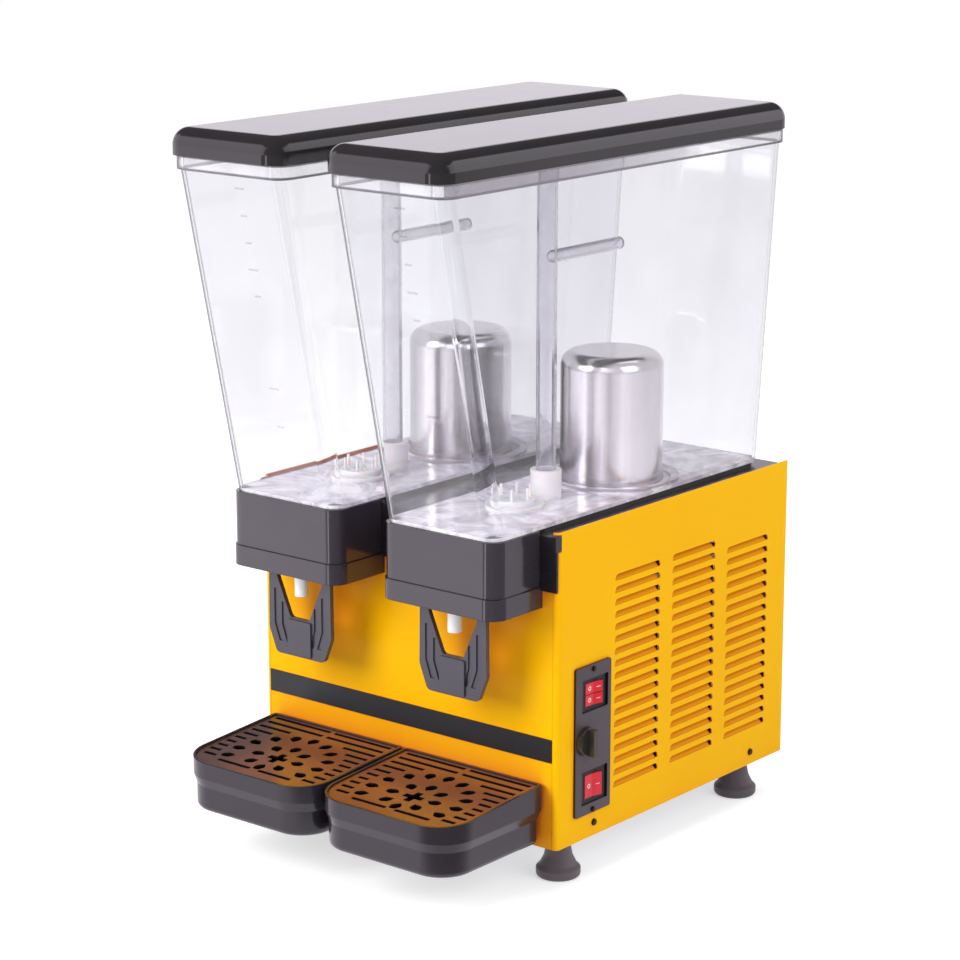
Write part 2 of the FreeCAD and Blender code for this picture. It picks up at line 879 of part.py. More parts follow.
def make_case_screws():
    """Side panel screws, two a side, and the two screws of the control plate."""
    profile = screw_profile(size.screw_head_radius)
    screws = []
    for number, y in enumerate(SIDE_SCREWS, start=1):
        screws.append(turned(f"right_screw_{number}", (HALF, y, SIDE_SCREW_Z), profile, "X"))
        left = turned(f"left_screw_{number}", (-HALF, y, SIDE_SCREW_Z), profile, "X")
        left.Placement = Placement(left.Placement.Base, Rotation(ALONG["Z"], -ALONG["X"]))
        screws.append(left)
    for number, z in enumerate(PLATE_SCREWS, start=1):
        base = (PLATE_FACE, PLATE_SCREW_Y, z)
        profile = screw_profile(size.plate_screw_head)
        screws.append(turned(f"plate_screw_{number}", base, profile, "X"))
    piece("case_screws", group("case_screw_group", screws))


def make_tap_housings():
    shells, rims = [], []
    front, back, wall = -size.housing_front, SKIRT_FACE, size.housing_wall
    corner = size.housing_corner
    half = size.housing_width / 2
    for name, side in SIDES.items():
        x = tank_x(side)
        body = new_body(name + "_housing")
        ceiling = HOUSING_TOP - wall
        outline = rectangle(x - half, x + half, front, back, corner, 0)
        slab(body, "shell", "XY", size.housing_low, HOUSING_TOP, [outline])
        inside = rectangle(x - half + wall, x + half - wall, front + wall, back, corner - wall, 0)
        slab(body, "shell_inside", "XY", size.housing_low, ceiling, [inside], hollow=True)
        sleeve_low = size.pinch_z + 13
        slab(body, "sleeve", "XY", sleeve_low, ceiling, [Round(x, size.tap_y, SLEEVE_BORE + 2.5)])
        web = rectangle(x - 20, x + 20, size.pivot_y, size.pivot_y + 3)
        slab(body, "web", "XY", ANVIL_LOW, ceiling, [web])
        anvil = rectangle(x - 20, x + 20, size.tap_y + size.pinch_thickness / 2, back)
        slab(body, "anvil", "XY", ANVIL_LOW, size.pinch_z + 3, [anvil])
        lug_low = size.pivot_z - size.pin_radius - size.lug_thickness
        for number, edge in enumerate((x - LUG_TO, x + LUG_FROM), start=1):
            lug = rectangle(edge, edge + size.lug_thickness, size.pivot_y - 6, size.pivot_y + 6)
            slab(body, f"lug_{number}", "XY", lug_low, ceiling, [lug])
        slab(body, "sleeve_bore", "XY", sleeve_low, HOUSING_TOP - wall,
             [Round(x, size.tap_y, SLEEVE_BORE)], hollow=True)
        slab(body, "spigot_hole", "XY", ceiling, HOUSING_TOP,
             [Round(x, size.tap_y, size.spigot_radius + size.gap)], hollow=True)
        slab(body, "pin_holes", "YZ", x - LUG_TO, x + LUG_TO,
             [Round(size.pivot_y, size.pivot_z, size.pin_radius + size.fit)], hollow=True)
        shells.append(body)
        rims.append(housing_rim(name, x, half + size.rim_step))
    piece("tap_housings", group("housing_group", shells))
    piece("housing_rims", group("rim_group", rims))


def housing_rim(name, x, half):
    body = new_body(name + "_rim")
    front, wall = -size.housing_front - size.rim_step, size.rim_wall
    low, high = size.rim_low, size.housing_low
    corner = size.housing_corner + size.rim_step
    outline = rectangle(x - half, x + half, front, 0, corner, 0)
    slab(body, "rim_block", "XY", low, high, [outline])
    inside = rectangle(x - half + wall, x + half - wall, front + wall, 0, corner - wall, 0)
    slab(body, "rim_inside", "XY", low, high, [inside], hollow=True)
    behind = rectangle(x - half, x + half, SKIRT_FACE, 0)
    slab(body, "skirt_relief", "XY", size.skirt_low, high, [behind], hollow=True)
    return body


def ellipse_wire(x, y, z, half_x, half_y):
    """An oval section lying flat."""
    half_x, half_y = float(half_x), float(half_y)
    curve = Part.Ellipse(Vector(x, y, z), max(half_x, half_y), min(half_x, half_y))
    if half_y > half_x:
        curve.XAxis = ALONG["Y"]
    return Part.Wire([curve.toShape()])


def make_outlet_tubes():
    """Soft tubes with a round mouth, pressed flat where the tap closes them."""
    tubes = []
    radius, bore, pinch = size.outlet_radius, size.outlet_bore, size.pinch_z
    top, low = HOUSING_TOP - size.housing_wall, size.outlet_low
    wide, flat = size.pinch_width / 2, size.pinch_thickness / 2
    socket = size.spigot_radius + size.gap
    for side in SIDES.values():
        x, y = tank_x(side), size.tap_y
        spots = [
            (low, radius, radius), (pinch - 16, radius, radius), (pinch - 3, wide, flat),
            (pinch + 3, wide, flat), (pinch + 13, SLEEVE_BORE - 0.2, SLEEVE_BORE - 0.2),
            (top, SLEEVE_BORE - 0.2, SLEEVE_BORE - 0.2),
        ]
        solid = Part.makeLoft([ellipse_wire(x, y, *spot) for spot in spots], True, True)
        lower = [(low, bore, bore), (pinch - 16, bore, bore), (pinch - 6, wide - 2, 0.4)]
        upper = [(pinch + 6, wide - 2, 0.4), (pinch + 13, socket, socket), (top, socket, socket)]
        for spots in (lower, upper):
            solid = solid.cut(Part.makeLoft([ellipse_wire(x, y, *s) for s in spots], True, True))
        tubes.append(solid)
    piece("outlet_tubes", shaped("outlet_shapes", Part.makeCompound(tubes)))


def make_lever_pins():
    pins = [
        rod(name + "_pin", (tank_x(side) - LUG_TO, size.pivot_y, size.pivot_z), "X",
            LUG_TO * 2, size.pin_radius)
        for name, side in SIDES.items()
    ]
    piece("lever_pins", group("pin_group", pins))


def make_lever_spring(name, side):
    low, high = HEEL_TOP + size.gap, ANVIL_LOW - size.gap
    wire = size.spring_wire / 2
    spring = coil((tank_x(side), size.heel_y), size.spring_radius, wire, low, high,
                  int(float(size.spring_turns)))
    piece(name + "_lever_spring", shaped(name + "_spring_shape", spring))


def mirrored(corners, x):
    """A left half outline and its mirror image about an upright line."""
    right = [(x + dx, z, *rest) for dx, z, *rest in corners]
    left = [(x - dx, z, *rest) for dx, z, *rest in reversed(corners)]
    return right + left


def make_tap_lever(name, side):
    body = new_body(name + "_tap_lever")
    x, low = tank_x(side), size.lever_low
    half, foot, arm = size.lever_half, size.lever_foot_half, size.lever_arm
    front, back = LEVER_FACE, LEVER_FACE + size.lever_thickness
    top = size.pivot_z + 6
    shoulder = low + size.lever_shoulder
    outline = mirrored([(foot, low, 6), (half + 1, shoulder, 10), (half, top)], x)
    slab(body, "paddle", "XZ", front, back, [outline])
    wide, narrow = size.opening_half, size.opening_foot_half
    opening = mirrored([(narrow, size.opening_low, 5), (wide, size.rim_low - 8, 40),
                        (wide + 1.5, top + 1)], x)
    slab(body, "opening", "XZ", front, back, [opening], hollow=True)
    band = size.lever_band_half
    rise = rectangle(x - band, x + band, low + 1.5, size.opening_low - 1.5, 2)
    slab(body, "raised_band", "XZ", front - size.lever_band_rise, front, [rise])
    rear = size.heel_y + 4.5
    eye = size.pivot_z
    bar_low, bar_high = size.pinch_z - 4, size.pinch_z + 4
    bar_front = BAR_BACK - 8
    profile = [
        (front, eye - 21), (back, eye - 21), (-22, eye - 6, 6), (rear, eye - 4, 2),
        (rear, HEEL_TOP, 2), (-21, eye + 7, 4), (-33, eye + 13, 6), (BAR_BACK, bar_high - 1, 2),
        (BAR_BACK, bar_high), (bar_front, bar_high, 2), (bar_front, bar_low - 2, 3),
        (front, eye + 8, 4),
    ]
    for number, edge in enumerate((x - half, x + half - arm), start=1):
        slab(body, f"arm_{number}", "YZ", edge, edge + arm, [profile])
    bar = rectangle(bar_front, BAR_BACK, bar_low, bar_high, 2)
    slab(body, "pinch_bar", "YZ", x - half, x + half, [bar])
    heel = rectangle(size.heel_y - 5, rear, eye - 4, HEEL_TOP, 1)
    slab(body, "heel_bar", "YZ", x - half, x + half, [heel])
    slab(body, "pivot_hole", "YZ", x - half, x + half,
         [Round(size.pivot_y, eye, size.pin_radius + size.fit)], hollow=True)
    width, turn = size.groove_width / 2, shoulder + 5
    for number, (inset, high) in enumerate(((20.5, turn + 22), (30, turn + 34)), start=1):
        for hand in (-1, 1):
            a, b = x + hand * (inset - width), x + hand * (inset + width)
            foot_a, foot_b = a - hand * 6, b - hand * 6
            groove = [(a, turn), (a, high), (b, high), (b, turn), (foot_b, turn - 17),
                      (foot_a, turn - 17)]
            slab(body, f"groove_{number}_{hand + 1}", "XZ", front, front + size.groove_depth,
                 [groove], hollow=True)
    piece(name + "_tap_lever", body)


def tray_outline(x, inset):
    half = size.tray_half - inset
    return rectangle(x - half, x + half, inset - size.tray_front, -size.tray_back - inset,
                     size.tray_corner - inset, 3)


def sloped_top(drop, over):
    """A side view of everything above the tray's sloping top, lowered by drop."""
    front, back = -size.tray_front - 1, as_size(1)
    high = size.tray_top - drop
    return [(front, high - size.tray_fall), (back, high), (back, high + over), (front, high + over)]


def make_drip_tray(name, side):
    body = new_body(name + "_drip_tray")
    x = side * size.tray_centre
    low, top, wall, step = size.tray_low, size.tray_top, size.tray_wall, size.tray_step
    ledge = top - size.tray_fall - size.tray_band
    slab(body, "tub", "XY", low, ledge, [tray_outline(x, step)])
    softened(body, "tub_edge", 6, lambda edge: at_height(edge, low))
    slab(body, "tray_rim", "XY", ledge, top, [tray_outline(x, 0)])
    taper = [(ledge - size.tray_taper, tray_outline(x, step)), (ledge, tray_outline(x, 0))]
    lofted(body, "band_taper", taper)
    reach = size.tray_half + 1
    slab(body, "slope", "YZ", x - reach, x + reach, [sloped_top(0, 30)], hollow=True)
    slab(body, "rim_inside", "XY", ledge + wall, top, [tray_outline(x, wall)], hollow=True)
    slab(body, "tub_inside", "XY", low + wall, ledge + wall, [tray_outline(x, step + wall)],
         hollow=True)
    piece(name + "_drip_tray", body)


def make_drip_grille(name, side):
    body = new_body(name + "_drip_grille")
    x = side * size.tray_centre
    inset = size.tray_wall + size.gap
    seat = size.tray_top - size.tray_fall - size.tray_band + size.tray_wall + size.gap
    top = size.tray_top
    slab(body, "grille_block", "XY", seat, top, [tray_outline(x, inset)])
    reach = size.tray_half + 1
    above = sloped_top(size.grille_drop, 30)
    slab(body, "grille_slope", "YZ", x - reach, x + reach, [above], hollow=True)
    grille_rings(body, x)
    below = sloped_top(size.grille_drop + size.grille_plate, -60)
    pocket = new_body(name + "_grille_pocket")
    slab(pocket, "under_plate", "YZ", x - reach, x + reach, [below])
    frame_cut = tray_outline(x, inset + 2)
    edge = tray_outline(x, -20)
    slab(pocket, "keep_skirt", "XY", seat - 60, top + 10, [edge, frame_cut], hollow=True)
    piece(name + "_drip_grille", cut(name + "_grille", body, [pocket] + grille_slots(name, x)))


def grille_rings(body, x):
    """Two rings of tear-shaped holes with their tips inwards, about a hole shaped as a cross."""
    low, high, centre = size.tray_low, size.tray_top, (x, -size.ring_back)
    half, length = size.tear_width / 2, size.tear_length
    rings = (("inner", size.ring_inner, 0, 360, 8), ("outer", size.ring_outer, -22.5, 225, 11))
    for name, inner, first, spread, count in rings:
        middle, end = inner + length / 2, inner + length
        tear = turned_by(first, [(inner, 0, 1.5), (middle, -half, 5), (end, -half / 2, 3.5),
                                 (end, half / 2, 3.5), (middle, half, 5)])
        hole = slab(body, name + "_hole", "XY", low, high, [tear], hollow=True, origin=centre)
        ringed(body, name + "_ring", hole, spread, count)
    arm, web = size.cross_arm, size.cross_web
    cross = [(arm, -web, 1), (arm, web, 1), (web, web), (web, arm, 1), (-web, arm, 1), (-web, web),
             (-arm, web, 1), (-arm, -web, 1), (-web, -web), (-web, -arm, 1), (web, -arm, 1),
             (web, -web)]
    slab(body, "cross_hole", "XY", low, high, [cross], hollow=True, origin=centre)


def turned_by(degrees, corners):
    """An outline turned about the origin of its sketch."""
    c, s = math.cos(math.radians(degrees)), math.sin(math.radians(degrees))
    return [(x * c - y * s, x * s + y * c, radius) for x, y, radius in corners]


def grille_slots(name, x):
    """Rows of slots. They stop short of the rings of holes and of the tray's rounded edge."""
    low, high, wide = size.tray_low, size.tray_top, size.slot_opening
    gap, side = size.slot_opening, size.tray_half - size.grille_margin
    corner = size.tray_corner - size.grille_margin
    slots = []

    def slot(start, end, y):
        for hand in (-1, 1):
            left, right = sorted((x + hand * start, x + hand * end), key=float)
            slots.append(box(f"{name}_slot_{len(slots)}", (left, y, low), (right, y + wide, high)))

    for row in range(10):
        y = -size.slot_first - size.slot_step * row
        from_ring = y + size.ring_back
        past_corner = y + size.tray_front - size.tray_corner
        start, end = gap / 2, side
        if abs(float(from_ring)) < float(size.ring_clear):
            start = root(size.ring_clear * size.ring_clear - from_ring * from_ring)
        if float(past_corner) < 0:
            end = side - corner + root(corner * corner - past_corner * past_corner)
        slot(start, end, y)
    slot(gap, side - corner, -size.tray_front + size.grille_margin * 2)
    return slots


def make_tray_brackets():
    brackets = []
    sheet, rise = size.tongue_sheet, size.tongue_rise
    low = size.foot_height + size.gap
    high = size.tray_low - size.gap
    half = size.tongue_spread / 2 + size.tongue_width
    for name, side in SIDES.items():
        x = side * size.tray_centre
        body = new_body(name + "_tray_bracket")
        slab(body, "leg", "XZ", -sheet, 0, [rectangle(x - half, x + half, low, low + rise)])
        for number, start in enumerate((x - half, x + half - size.tongue_width), start=1):
            tongue = rectangle(start, start + size.tongue_width, -size.tongue_reach, -sheet, 4, 0)
            slab(body, f"tongue_{number}", "XY", low, high, [tongue])
        brackets.append(body)
    piece("tray_brackets", group("bracket_group", brackets))


def tank_outline(x, share, outset=0):
    """The tank in plan at a share of its height, moved outwards."""
    half = size.tank_width / 2 + outset
    front = -size.tank_front - share * size.tank_lean - outset
    rear = size.tank_rear + share * size.tank_rear_lean + outset
    return rectangle(x - half, x + half, front, rear, size.tank_corner + outset)


def make_tank(name, side):
    body = new_body(name + "_tank")
    x, low, wall = tank_x(side), size.cabinet_top, size.tank_wall
    floor_share = wall / size.tank_height
    lofted(body, "walls", [(low, tank_outline(x, 0)), (TANK_TOP, tank_outline(x, 1))])
    tap = (x, size.tap_y)
    slab(body, "spigot", "XY", low - size.spigot_length, TANK_FLOOR,
         [Round(*tap, size.spigot_radius)])
    rim_top = TANK_TOP + size.rim_height
    slab(body, "rim", "XY", TANK_TOP, rim_top, [tank_outline(x, 1, size.rim_proud)])
    slab(body, "upstand", "XY", rim_top, rim_top + size.upstand, [tank_outline(x, 1)])
    sections = [(TANK_FLOOR, tank_outline(x, floor_share, -wall)), (TANK_TOP, tank_outline(x, 1, -wall))]
    lofted(body, "inside", sections, hollow=True)
    slab(body, "mouth", "XY", TANK_TOP, rim_top + size.upstand, [tank_outline(x, 1, -wall)],
         hollow=True)
    centre = (x, size.dome_y)
    collar_top = low + size.collar_height
    slab(body, "collar", "XY", low + wall, collar_top,
         [Round(*centre, COLLAR_BORE + size.collar_wall)])
    slab(body, "dome_hole", "XY", low, collar_top, [Round(*centre, COLLAR_BORE)], hollow=True)
    slab(body, "spigot_bore", "XY", low - size.spigot_length, TANK_FLOOR,
         [Round(*tap, size.spigot_bore)], hollow=True)
    piece(name + "_tank", body)


def lid_outline(x, inset):
    half = size.tank_width / 2 + size.lid_overhang - inset
    front = -size.tank_front - size.tank_lean - size.lid_front + inset
    rear = size.tank_rear + size.tank_rear_lean + size.lid_rear - inset
    return rectangle(x - half, x + half, front, rear, size.lid_corner - inset)


def make_lid(name, side):
    """A domed cover: the rounded inside is taken from the rounded outside."""
    shells = []
    for part_name, inset in (("outside", 0), ("inside", size.lid_wall)):
        body = new_body(f"{name}_lid_{part_name}")
        top = LID_TOP - inset
        slab(body, "block", "XY", LID_LOW, top, [lid_outline(tank_x(side), inset)])
        softened(body, "crown", size.lid_fillet - inset, lambda edge, top=top: at_height(edge, top))
        shells.append(body)
    piece(name + "_lid", cut(name + "_lid_shell", shells[0], shells[1:]))


def make_evaporators():
    domes, seals, coils = [], [], []
    radius, wall, low, top = size.dome_radius, size.dome_wall, size.deck_top, size.dome_top
    fillet = size.dome_fillet
    shell = [
        (radius - wall, low), (radius, low), (radius, top, fillet), (0, top),
        (0, top - wall), (radius - wall, top - wall, fillet - wall),
    ]
    inner, outer = radius + size.gap, radius + size.seal_width
    seal_top = low + size.seal_height
    ring = [(inner, low), (outer, low), (outer, seal_top, 2), (inner, seal_top, 1)]
    reach = radius - wall - size.gap - size.coil_tube
    start = size.cabinet_top
    for name, side in SIDES.items():
        base = (tank_x(side), size.dome_y, as_size(0))
        domes.append(turned(name + "_dome", base, shell))
        seals.append(turned(name + "_seal", base, ring))
        end = start + size.coil_pitch * size.coil_turns
        coils.append(coil(base[:2], reach, size.coil_tube, start, end, int(float(size.coil_turns))))
    piece("evaporator_domes", group("dome_group", domes))
    piece("dome_seals", group("seal_group", seals))
    piece("evaporator_coils", shaped("coil_shapes", Part.makeCompound(coils)))


def make_pump_base(name, side):
    body = new_body(name + "_pump_base")
    x, y, rear = tank_x(side), size.pump_y, size.socket_y
    low, top = TANK_FLOOR, TANK_FLOOR + size.pump_height
    half, riser = size.socket_radius, size.riser_radius
    slab(body, "plate", "XY", low, top, [Round(x, y, size.pump_radius)])
    slab(body, "link", "XY", low, top, [rectangle(x - half, x + half, y, rear)])
    slab(body, "socket", "XY", low, size.socket_top, [Round(x, rear, half)])
    slab(body, "chamber", "XY", low, top, [Round(x, y, size.chamber_radius)], hollow=True)
    channel = rectangle(x - size.channel_width / 2, x + size.channel_width / 2, y, rear)
    slab(body, "channel", "XY", low, low + size.channel_height, [channel], hollow=True)
    slab(body, "duct", "XY", low, top, [Round(x, rear, riser - size.riser_wall)], hollow=True)
    slab(body, "riser_seat", "XY", top, size.socket_top, [Round(x, rear, riser + size.gap / 2)],
         hollow=True)
    piece(name + "_pump_base", body)


def make_pump_cover(name, side):
    """A cap over the impeller with its pin, prongs that keep fruit off and inlet holes."""
    x, y = tank_x(side), size.pump_y
    low = TANK_FLOOR + size.pump_height
    high = low + size.cover_height
    roof, radius, pin, foot = high - size.cover_wall, size.cover_radius, size.pump_pin, TANK_FLOOR + 0.5
    cap = turned(name + "_cover", (x, y, as_size(0)), [
        (0, foot), (pin, foot), (pin, roof), (size.chamber_radius, roof),
        (size.chamber_radius, low), (radius, low), (radius, high, 1), (0, high),
    ])
    prongs, inlets = [], []
    for number in range(6):
        angle = math.radians(60 * number)
        out = radius - 4
        base = (x + out * math.cos(angle), y + out * math.sin(angle), roof)
        prongs.append(rod(f"{name}_prong_{number}", base, "Z", size.prong_height + size.cover_wall,
                          size.prong_radius))
        turn = math.radians(60 * number + 30)
        near = (x + 6 * math.cos(turn), y + 6 * math.sin(turn), roof)
        inlets.append(rod(f"{name}_inlet_{number}", near, "Z", size.cover_wall, 2))
    solid = fuse(name + "_cover_prongs", [cap] + prongs)
    piece(name + "_pump_cover", cut(name + "_cover_cut", solid, inlets))


def make_riser(name, side):
    """The riser with its side arm, which sprays back over the dome."""
    x, y = tank_x(side), size.socket_y
    low, radius, wall = TANK_FLOOR + size.pump_height, size.riser_radius, size.riser_wall
    arm, z = size.spray_radius, size.spray_z
    reach = size.spray_end - y
    outside = fuse(name + "_riser_outside", [
        rod(name + "_riser_tube", (x, y, low), "Z", size.riser_top - low, radius),
        rod(name + "_spray_tube", (x, y, z), "Y", reach, arm),
    ])
    bores = [
        rod(name + "_riser_bore", (x, y, low), "Z", size.riser_top - wall - low, radius - wall),
        rod(name + "_spray_bore", (x, y, z), "Y", reach - wall, arm - wall),
    ]
    for number in range(5):
        spot = (x, y + 30 + 16 * number, z - arm - 1)
        bores.append(rod(f"{name}_spray_hole_{number}", spot, "Z", arm, 1.2))
    piece(name + "_riser", cut(name + "_riser_cut", outside, bores))


def make_impeller(name, side):
    low = TANK_FLOOR + 0.5
    bore = size.pump_pin + size.fit
    x, y = tank_x(side), size.pump_y
    disc = turned(name + "_disc", (x, y, as_size(0)), [
        (bore, low), (size.impeller_radius, low), (size.impeller_radius, low + 1.5),
        (5, low + 1.5), (5, low + 6), (bore, low + 6),
    ])
    vanes = []
    for number in range(6):
        blade = doc.addObject("Part::Box", f"{name}_vane_{number}")
        bind(blade, "Length", size.impeller_radius - 5)
        bind(blade, "Width", 1.5)
        bind(blade, "Height", 5)
        angle = 60 * number
        out = 4.5
        base = Vector(x + out * math.cos(math.radians(angle)), y + out * math.sin(math.radians(angle)),
                      low + 1)
        blade.Placement = Placement(base, Rotation(ALONG["Z"], angle))
        vanes.append(blade)
    piece(name + "_impeller", fuse(name + "_impeller_whole", [disc] + vanes))


def make_pump_drives():
    motors, brackets = [], []
    roof = UNDER_DECK
    ledge = roof - size.bracket_depth
    floor = ledge + 2
    low = ledge - size.motor_height
    outer = size.motor_radius + 8
    shaft, top = size.motor_shaft, roof - 4
    motor = [(0, low), (size.motor_radius, low, 4), (size.motor_radius, ledge), (shaft, ledge),
             (shaft, top), (0, top)]
    cup = [(shaft + 3, ledge), (outer, ledge), (outer, roof), (outer - 2, roof),
           (outer - 2, floor), (shaft + 3, floor)]
    rotor_top = roof - 2
    rotor_low = rotor_top - size.rotor_height
    bore = shaft + size.fit
    rotor = [(bore, rotor_low), (size.rotor_radius, rotor_low, 1), (size.rotor_radius, rotor_top, 1),
             (0, rotor_top), (0, top + size.gap), (bore, top + size.gap)]
    for name, side in SIDES.items():
        base = (tank_x(side), size.pump_y, as_size(0))
        motors.append(turned(name + "_motor", base, motor))
        brackets.append(turned(name + "_cup", base, cup))
        piece(name + "_magnet_rotor", turned(name + "_rotor", base, rotor))
    piece("pump_motors", group("motor_group", motors))
    piece("motor_brackets", group("cup_group", brackets))


def switches():
    """Height of the middle and full height of the two switch bodies."""
    return [(size.twin_z, size.rocker_height * 2 + 4.4), (size.main_z, size.main_rocker_height + 4)]


def switch_box(z, height, extra=0):
    half = size.rocker_half + size.switch_flange + extra
    return (size.switch_y - half, size.switch_y + half, z - height / 2 - extra, z + height / 2 + extra)


def rocker_spans():
    """Middle height and height of each rocker, with the label of its node."""
    step = size.rocker_height / 2 + 0.4
    return [
        ("left_pump_rocker", size.twin_z + step, size.rocker_height),
        ("right_pump_rocker", size.twin_z - step, size.rocker_height),
        ("main_rocker", size.main_z, size.main_rocker_height),
    ]


def make_controls():
    front, low = size.plate_front, size.plate_low
    body = new_body("control_plate")
    outline = rectangle(front, front + size.plate_width, low, low + size.plate_height, 2)
    slab(body, "plate", "YZ", HALF, PLATE_FACE, [outline])
    near, far, rim = front + size.window_front, front + size.window_rear, size.window_rim
    windows = [rectangle(near, far, z - height / 2 - rim, z + height / 2 + rim, 1)
               for z, height in switches()]
    slab(body, "recesses", "YZ", SWITCH_FACE, PLATE_FACE, windows, hollow=True)
    holes = [rectangle(*switch_box(z, height, size.gap)) for z, height in switches()]
    holes += [Round(size.knob_y, size.knob_z, size.thermostat_shaft + 1)]
    holes += [Round(PLATE_SCREW_Y, z, size.screw_radius + size.gap) for z in PLATE_SCREWS]
    slab(body, "plate_holes", "YZ", HALF, PLATE_FACE, holes, hollow=True)
    piece("control_plate", body)
    names = ("twin_switch_body", "main_switch_body")
    for name, (z, height) in zip(names, switches()):
        switch = new_body(name)
        rockers = [span for span in rocker_spans() if abs(float(span[1] - z)) < float(height)]
        slab(switch, "switch_block", "YZ", SWITCH_FACE - size.switch_depth, SWITCH_FACE,
             [rectangle(*switch_box(z, height))])
        half = size.rocker_half + 1.8
        wells = [rectangle(size.switch_y - half, size.switch_y + half,
                           middle - tall / 2 - size.gap, middle + tall / 2 + size.gap)
                 for _, middle, tall in rockers]
        slab(switch, "wells", "YZ", ROCKER_PIVOT - 8, SWITCH_FACE, wells, hollow=True)
        pin = [Round(ROCKER_PIVOT, size.switch_y, size.rocker_pin)]
        slab(switch, "rocker_pin", "XY", z - height / 2, z + height / 2, pin)
        piece(name, switch)
    for name, middle, tall in rocker_spans():
        make_rocker(name, middle, tall)
    make_thermostat()


def make_rocker(name, middle, height):
    """A rocker with its front half pressed in, so that half lies level with the switch."""
    x, y, half = ROCKER_PIVOT, size.switch_y, size.rocker_half
    tilt = math.radians(size.rocker_tilt)
    turn = -tilt

    def spot(out, along):
        across = out * math.cos(turn) - along * math.sin(turn)
        return (x + across, y + out * math.sin(turn) + along * math.cos(turn))

    rise = half * math.tan(tilt)
    face = size.rocker_face
    outline = [spot(-3.5, as_size(-3)), spot(0, -half * 0.85), spot(face + rise, -half),
               spot(face, as_size(0)), spot(face + rise, half), spot(0, half * 0.85),
               spot(-3.5, as_size(3))]
    body = new_body(name)
    slab(body, "rocker", "XY", middle - height / 2, middle + height / 2, [outline])
    slab(body, "rocker_bore", "XY", middle - height / 2, middle + height / 2,
         [Round(x, y, size.rocker_pin + size.fit)], hollow=True)
    piece(name, body)


def make_thermostat():
    y, z, shaft = size.knob_y, size.knob_z, size.thermostat_shaft
    half = size.thermostat_half
    case = box("thermostat_case", (INNER - size.thermostat_depth, y - half, z - half - 2),
               (INNER, y + half, z + half + 2))
    tip = PLATE_FACE + size.knob_height - 4
    stem = rod("thermostat_stem", (INNER, y, z), "X", tip - INNER, shaft)
    piece("thermostat", fuse("thermostat_whole", [case, stem]))
    base = (PLATE_FACE + size.gap, y, z)
    knob = knob_solid(base, size.knob_radius, size.knob_height, shaft + size.fit)
    piece("thermostat_knob", knob)


def knob_solid(base, radius, height, bore):
    """A round skirt with a grip bar across it and a blind bore for the shaft."""
    thick = size.knob_skirt
    skirt = turned("knob_skirt", base, [(0, 0), (radius, 0), (radius - 0.8, thick, 1), (0, thick)], "X")
    x, y, z = base
    grip, end = size.knob_grip, radius - 1.5
    bar = box("knob_bar", (x + thick / 2, y - grip, z - end), (x + height, y + grip, z + end))
    hole = rod("knob_bore", base, "X", size.knob_height - 4 + size.gap, bore)
    return cut("knob_cut", fuse("knob_whole", [skirt, bar]), [hole])


def make_compressor():
    x, y, top = size.compressor_x, size.compressor_y, size.compressor_top
    floor = TRAY_FLOOR
    seat = floor + size.mount_height
    radius, wing = size.compressor_radius, size.compressor_radius + size.compressor_wing
    pot_low = seat + size.compressor_plate
    pot = turned("compressor_pot", (x, y, as_size(0)), [
        (0, pot_low), (radius, pot_low, 12), (radius, top, 30), (0, top),
    ])
    plate = box("compressor_plate", (x - wing, y - radius, seat), (x + wing, y + radius, pot_low))
    piece("compressor", fuse("compressor_whole", [pot, plate]))
    mounts = [
        rod(f"mount_{number}", (x + dx * (radius + 4), y + dy * (radius - 10), floor), "Z",
            size.mount_height, size.mount_radius)
        for number, (dx, dy) in enumerate(((-1, -1), (1, -1), (1, 1), (-1, 1)), start=1)
    ]
    piece("compressor_mounts", group("mount_group", mounts))


def make_condenser():
    x, y = size.condenser_x, size.condenser_front
    low = TRAY_FLOOR
    high = low + size.condenser_height
    end = x + size.condenser_depth
    rear = y + size.condenser_width
    body = new_body("condenser_core")
    slab(body, "core", "XY", low, high, [rectangle(x, end, y, rear)])
    slot = rectangle(y + 4, y + 4 + size.fin_pitch * 0.7, low + 8, high - 8)
    gap = slab(body, "fin_gap", "YZ", x, end, [slot], hollow=True)
    repeated(body, "fin_gaps", gap, "H_Axis", size.fin_pitch, 30)
    first, step = low + size.condenser_tube_low, size.condenser_tube_step
    tubes = [
        rod(f"condenser_tube_{n}", (x + size.condenser_depth / 2, y, first + step * n), "Y",
            size.condenser_width, size.condenser_tube)
        for n in range(6)
    ]
    piece("condenser", fuse("condenser_whole", [body] + tubes))


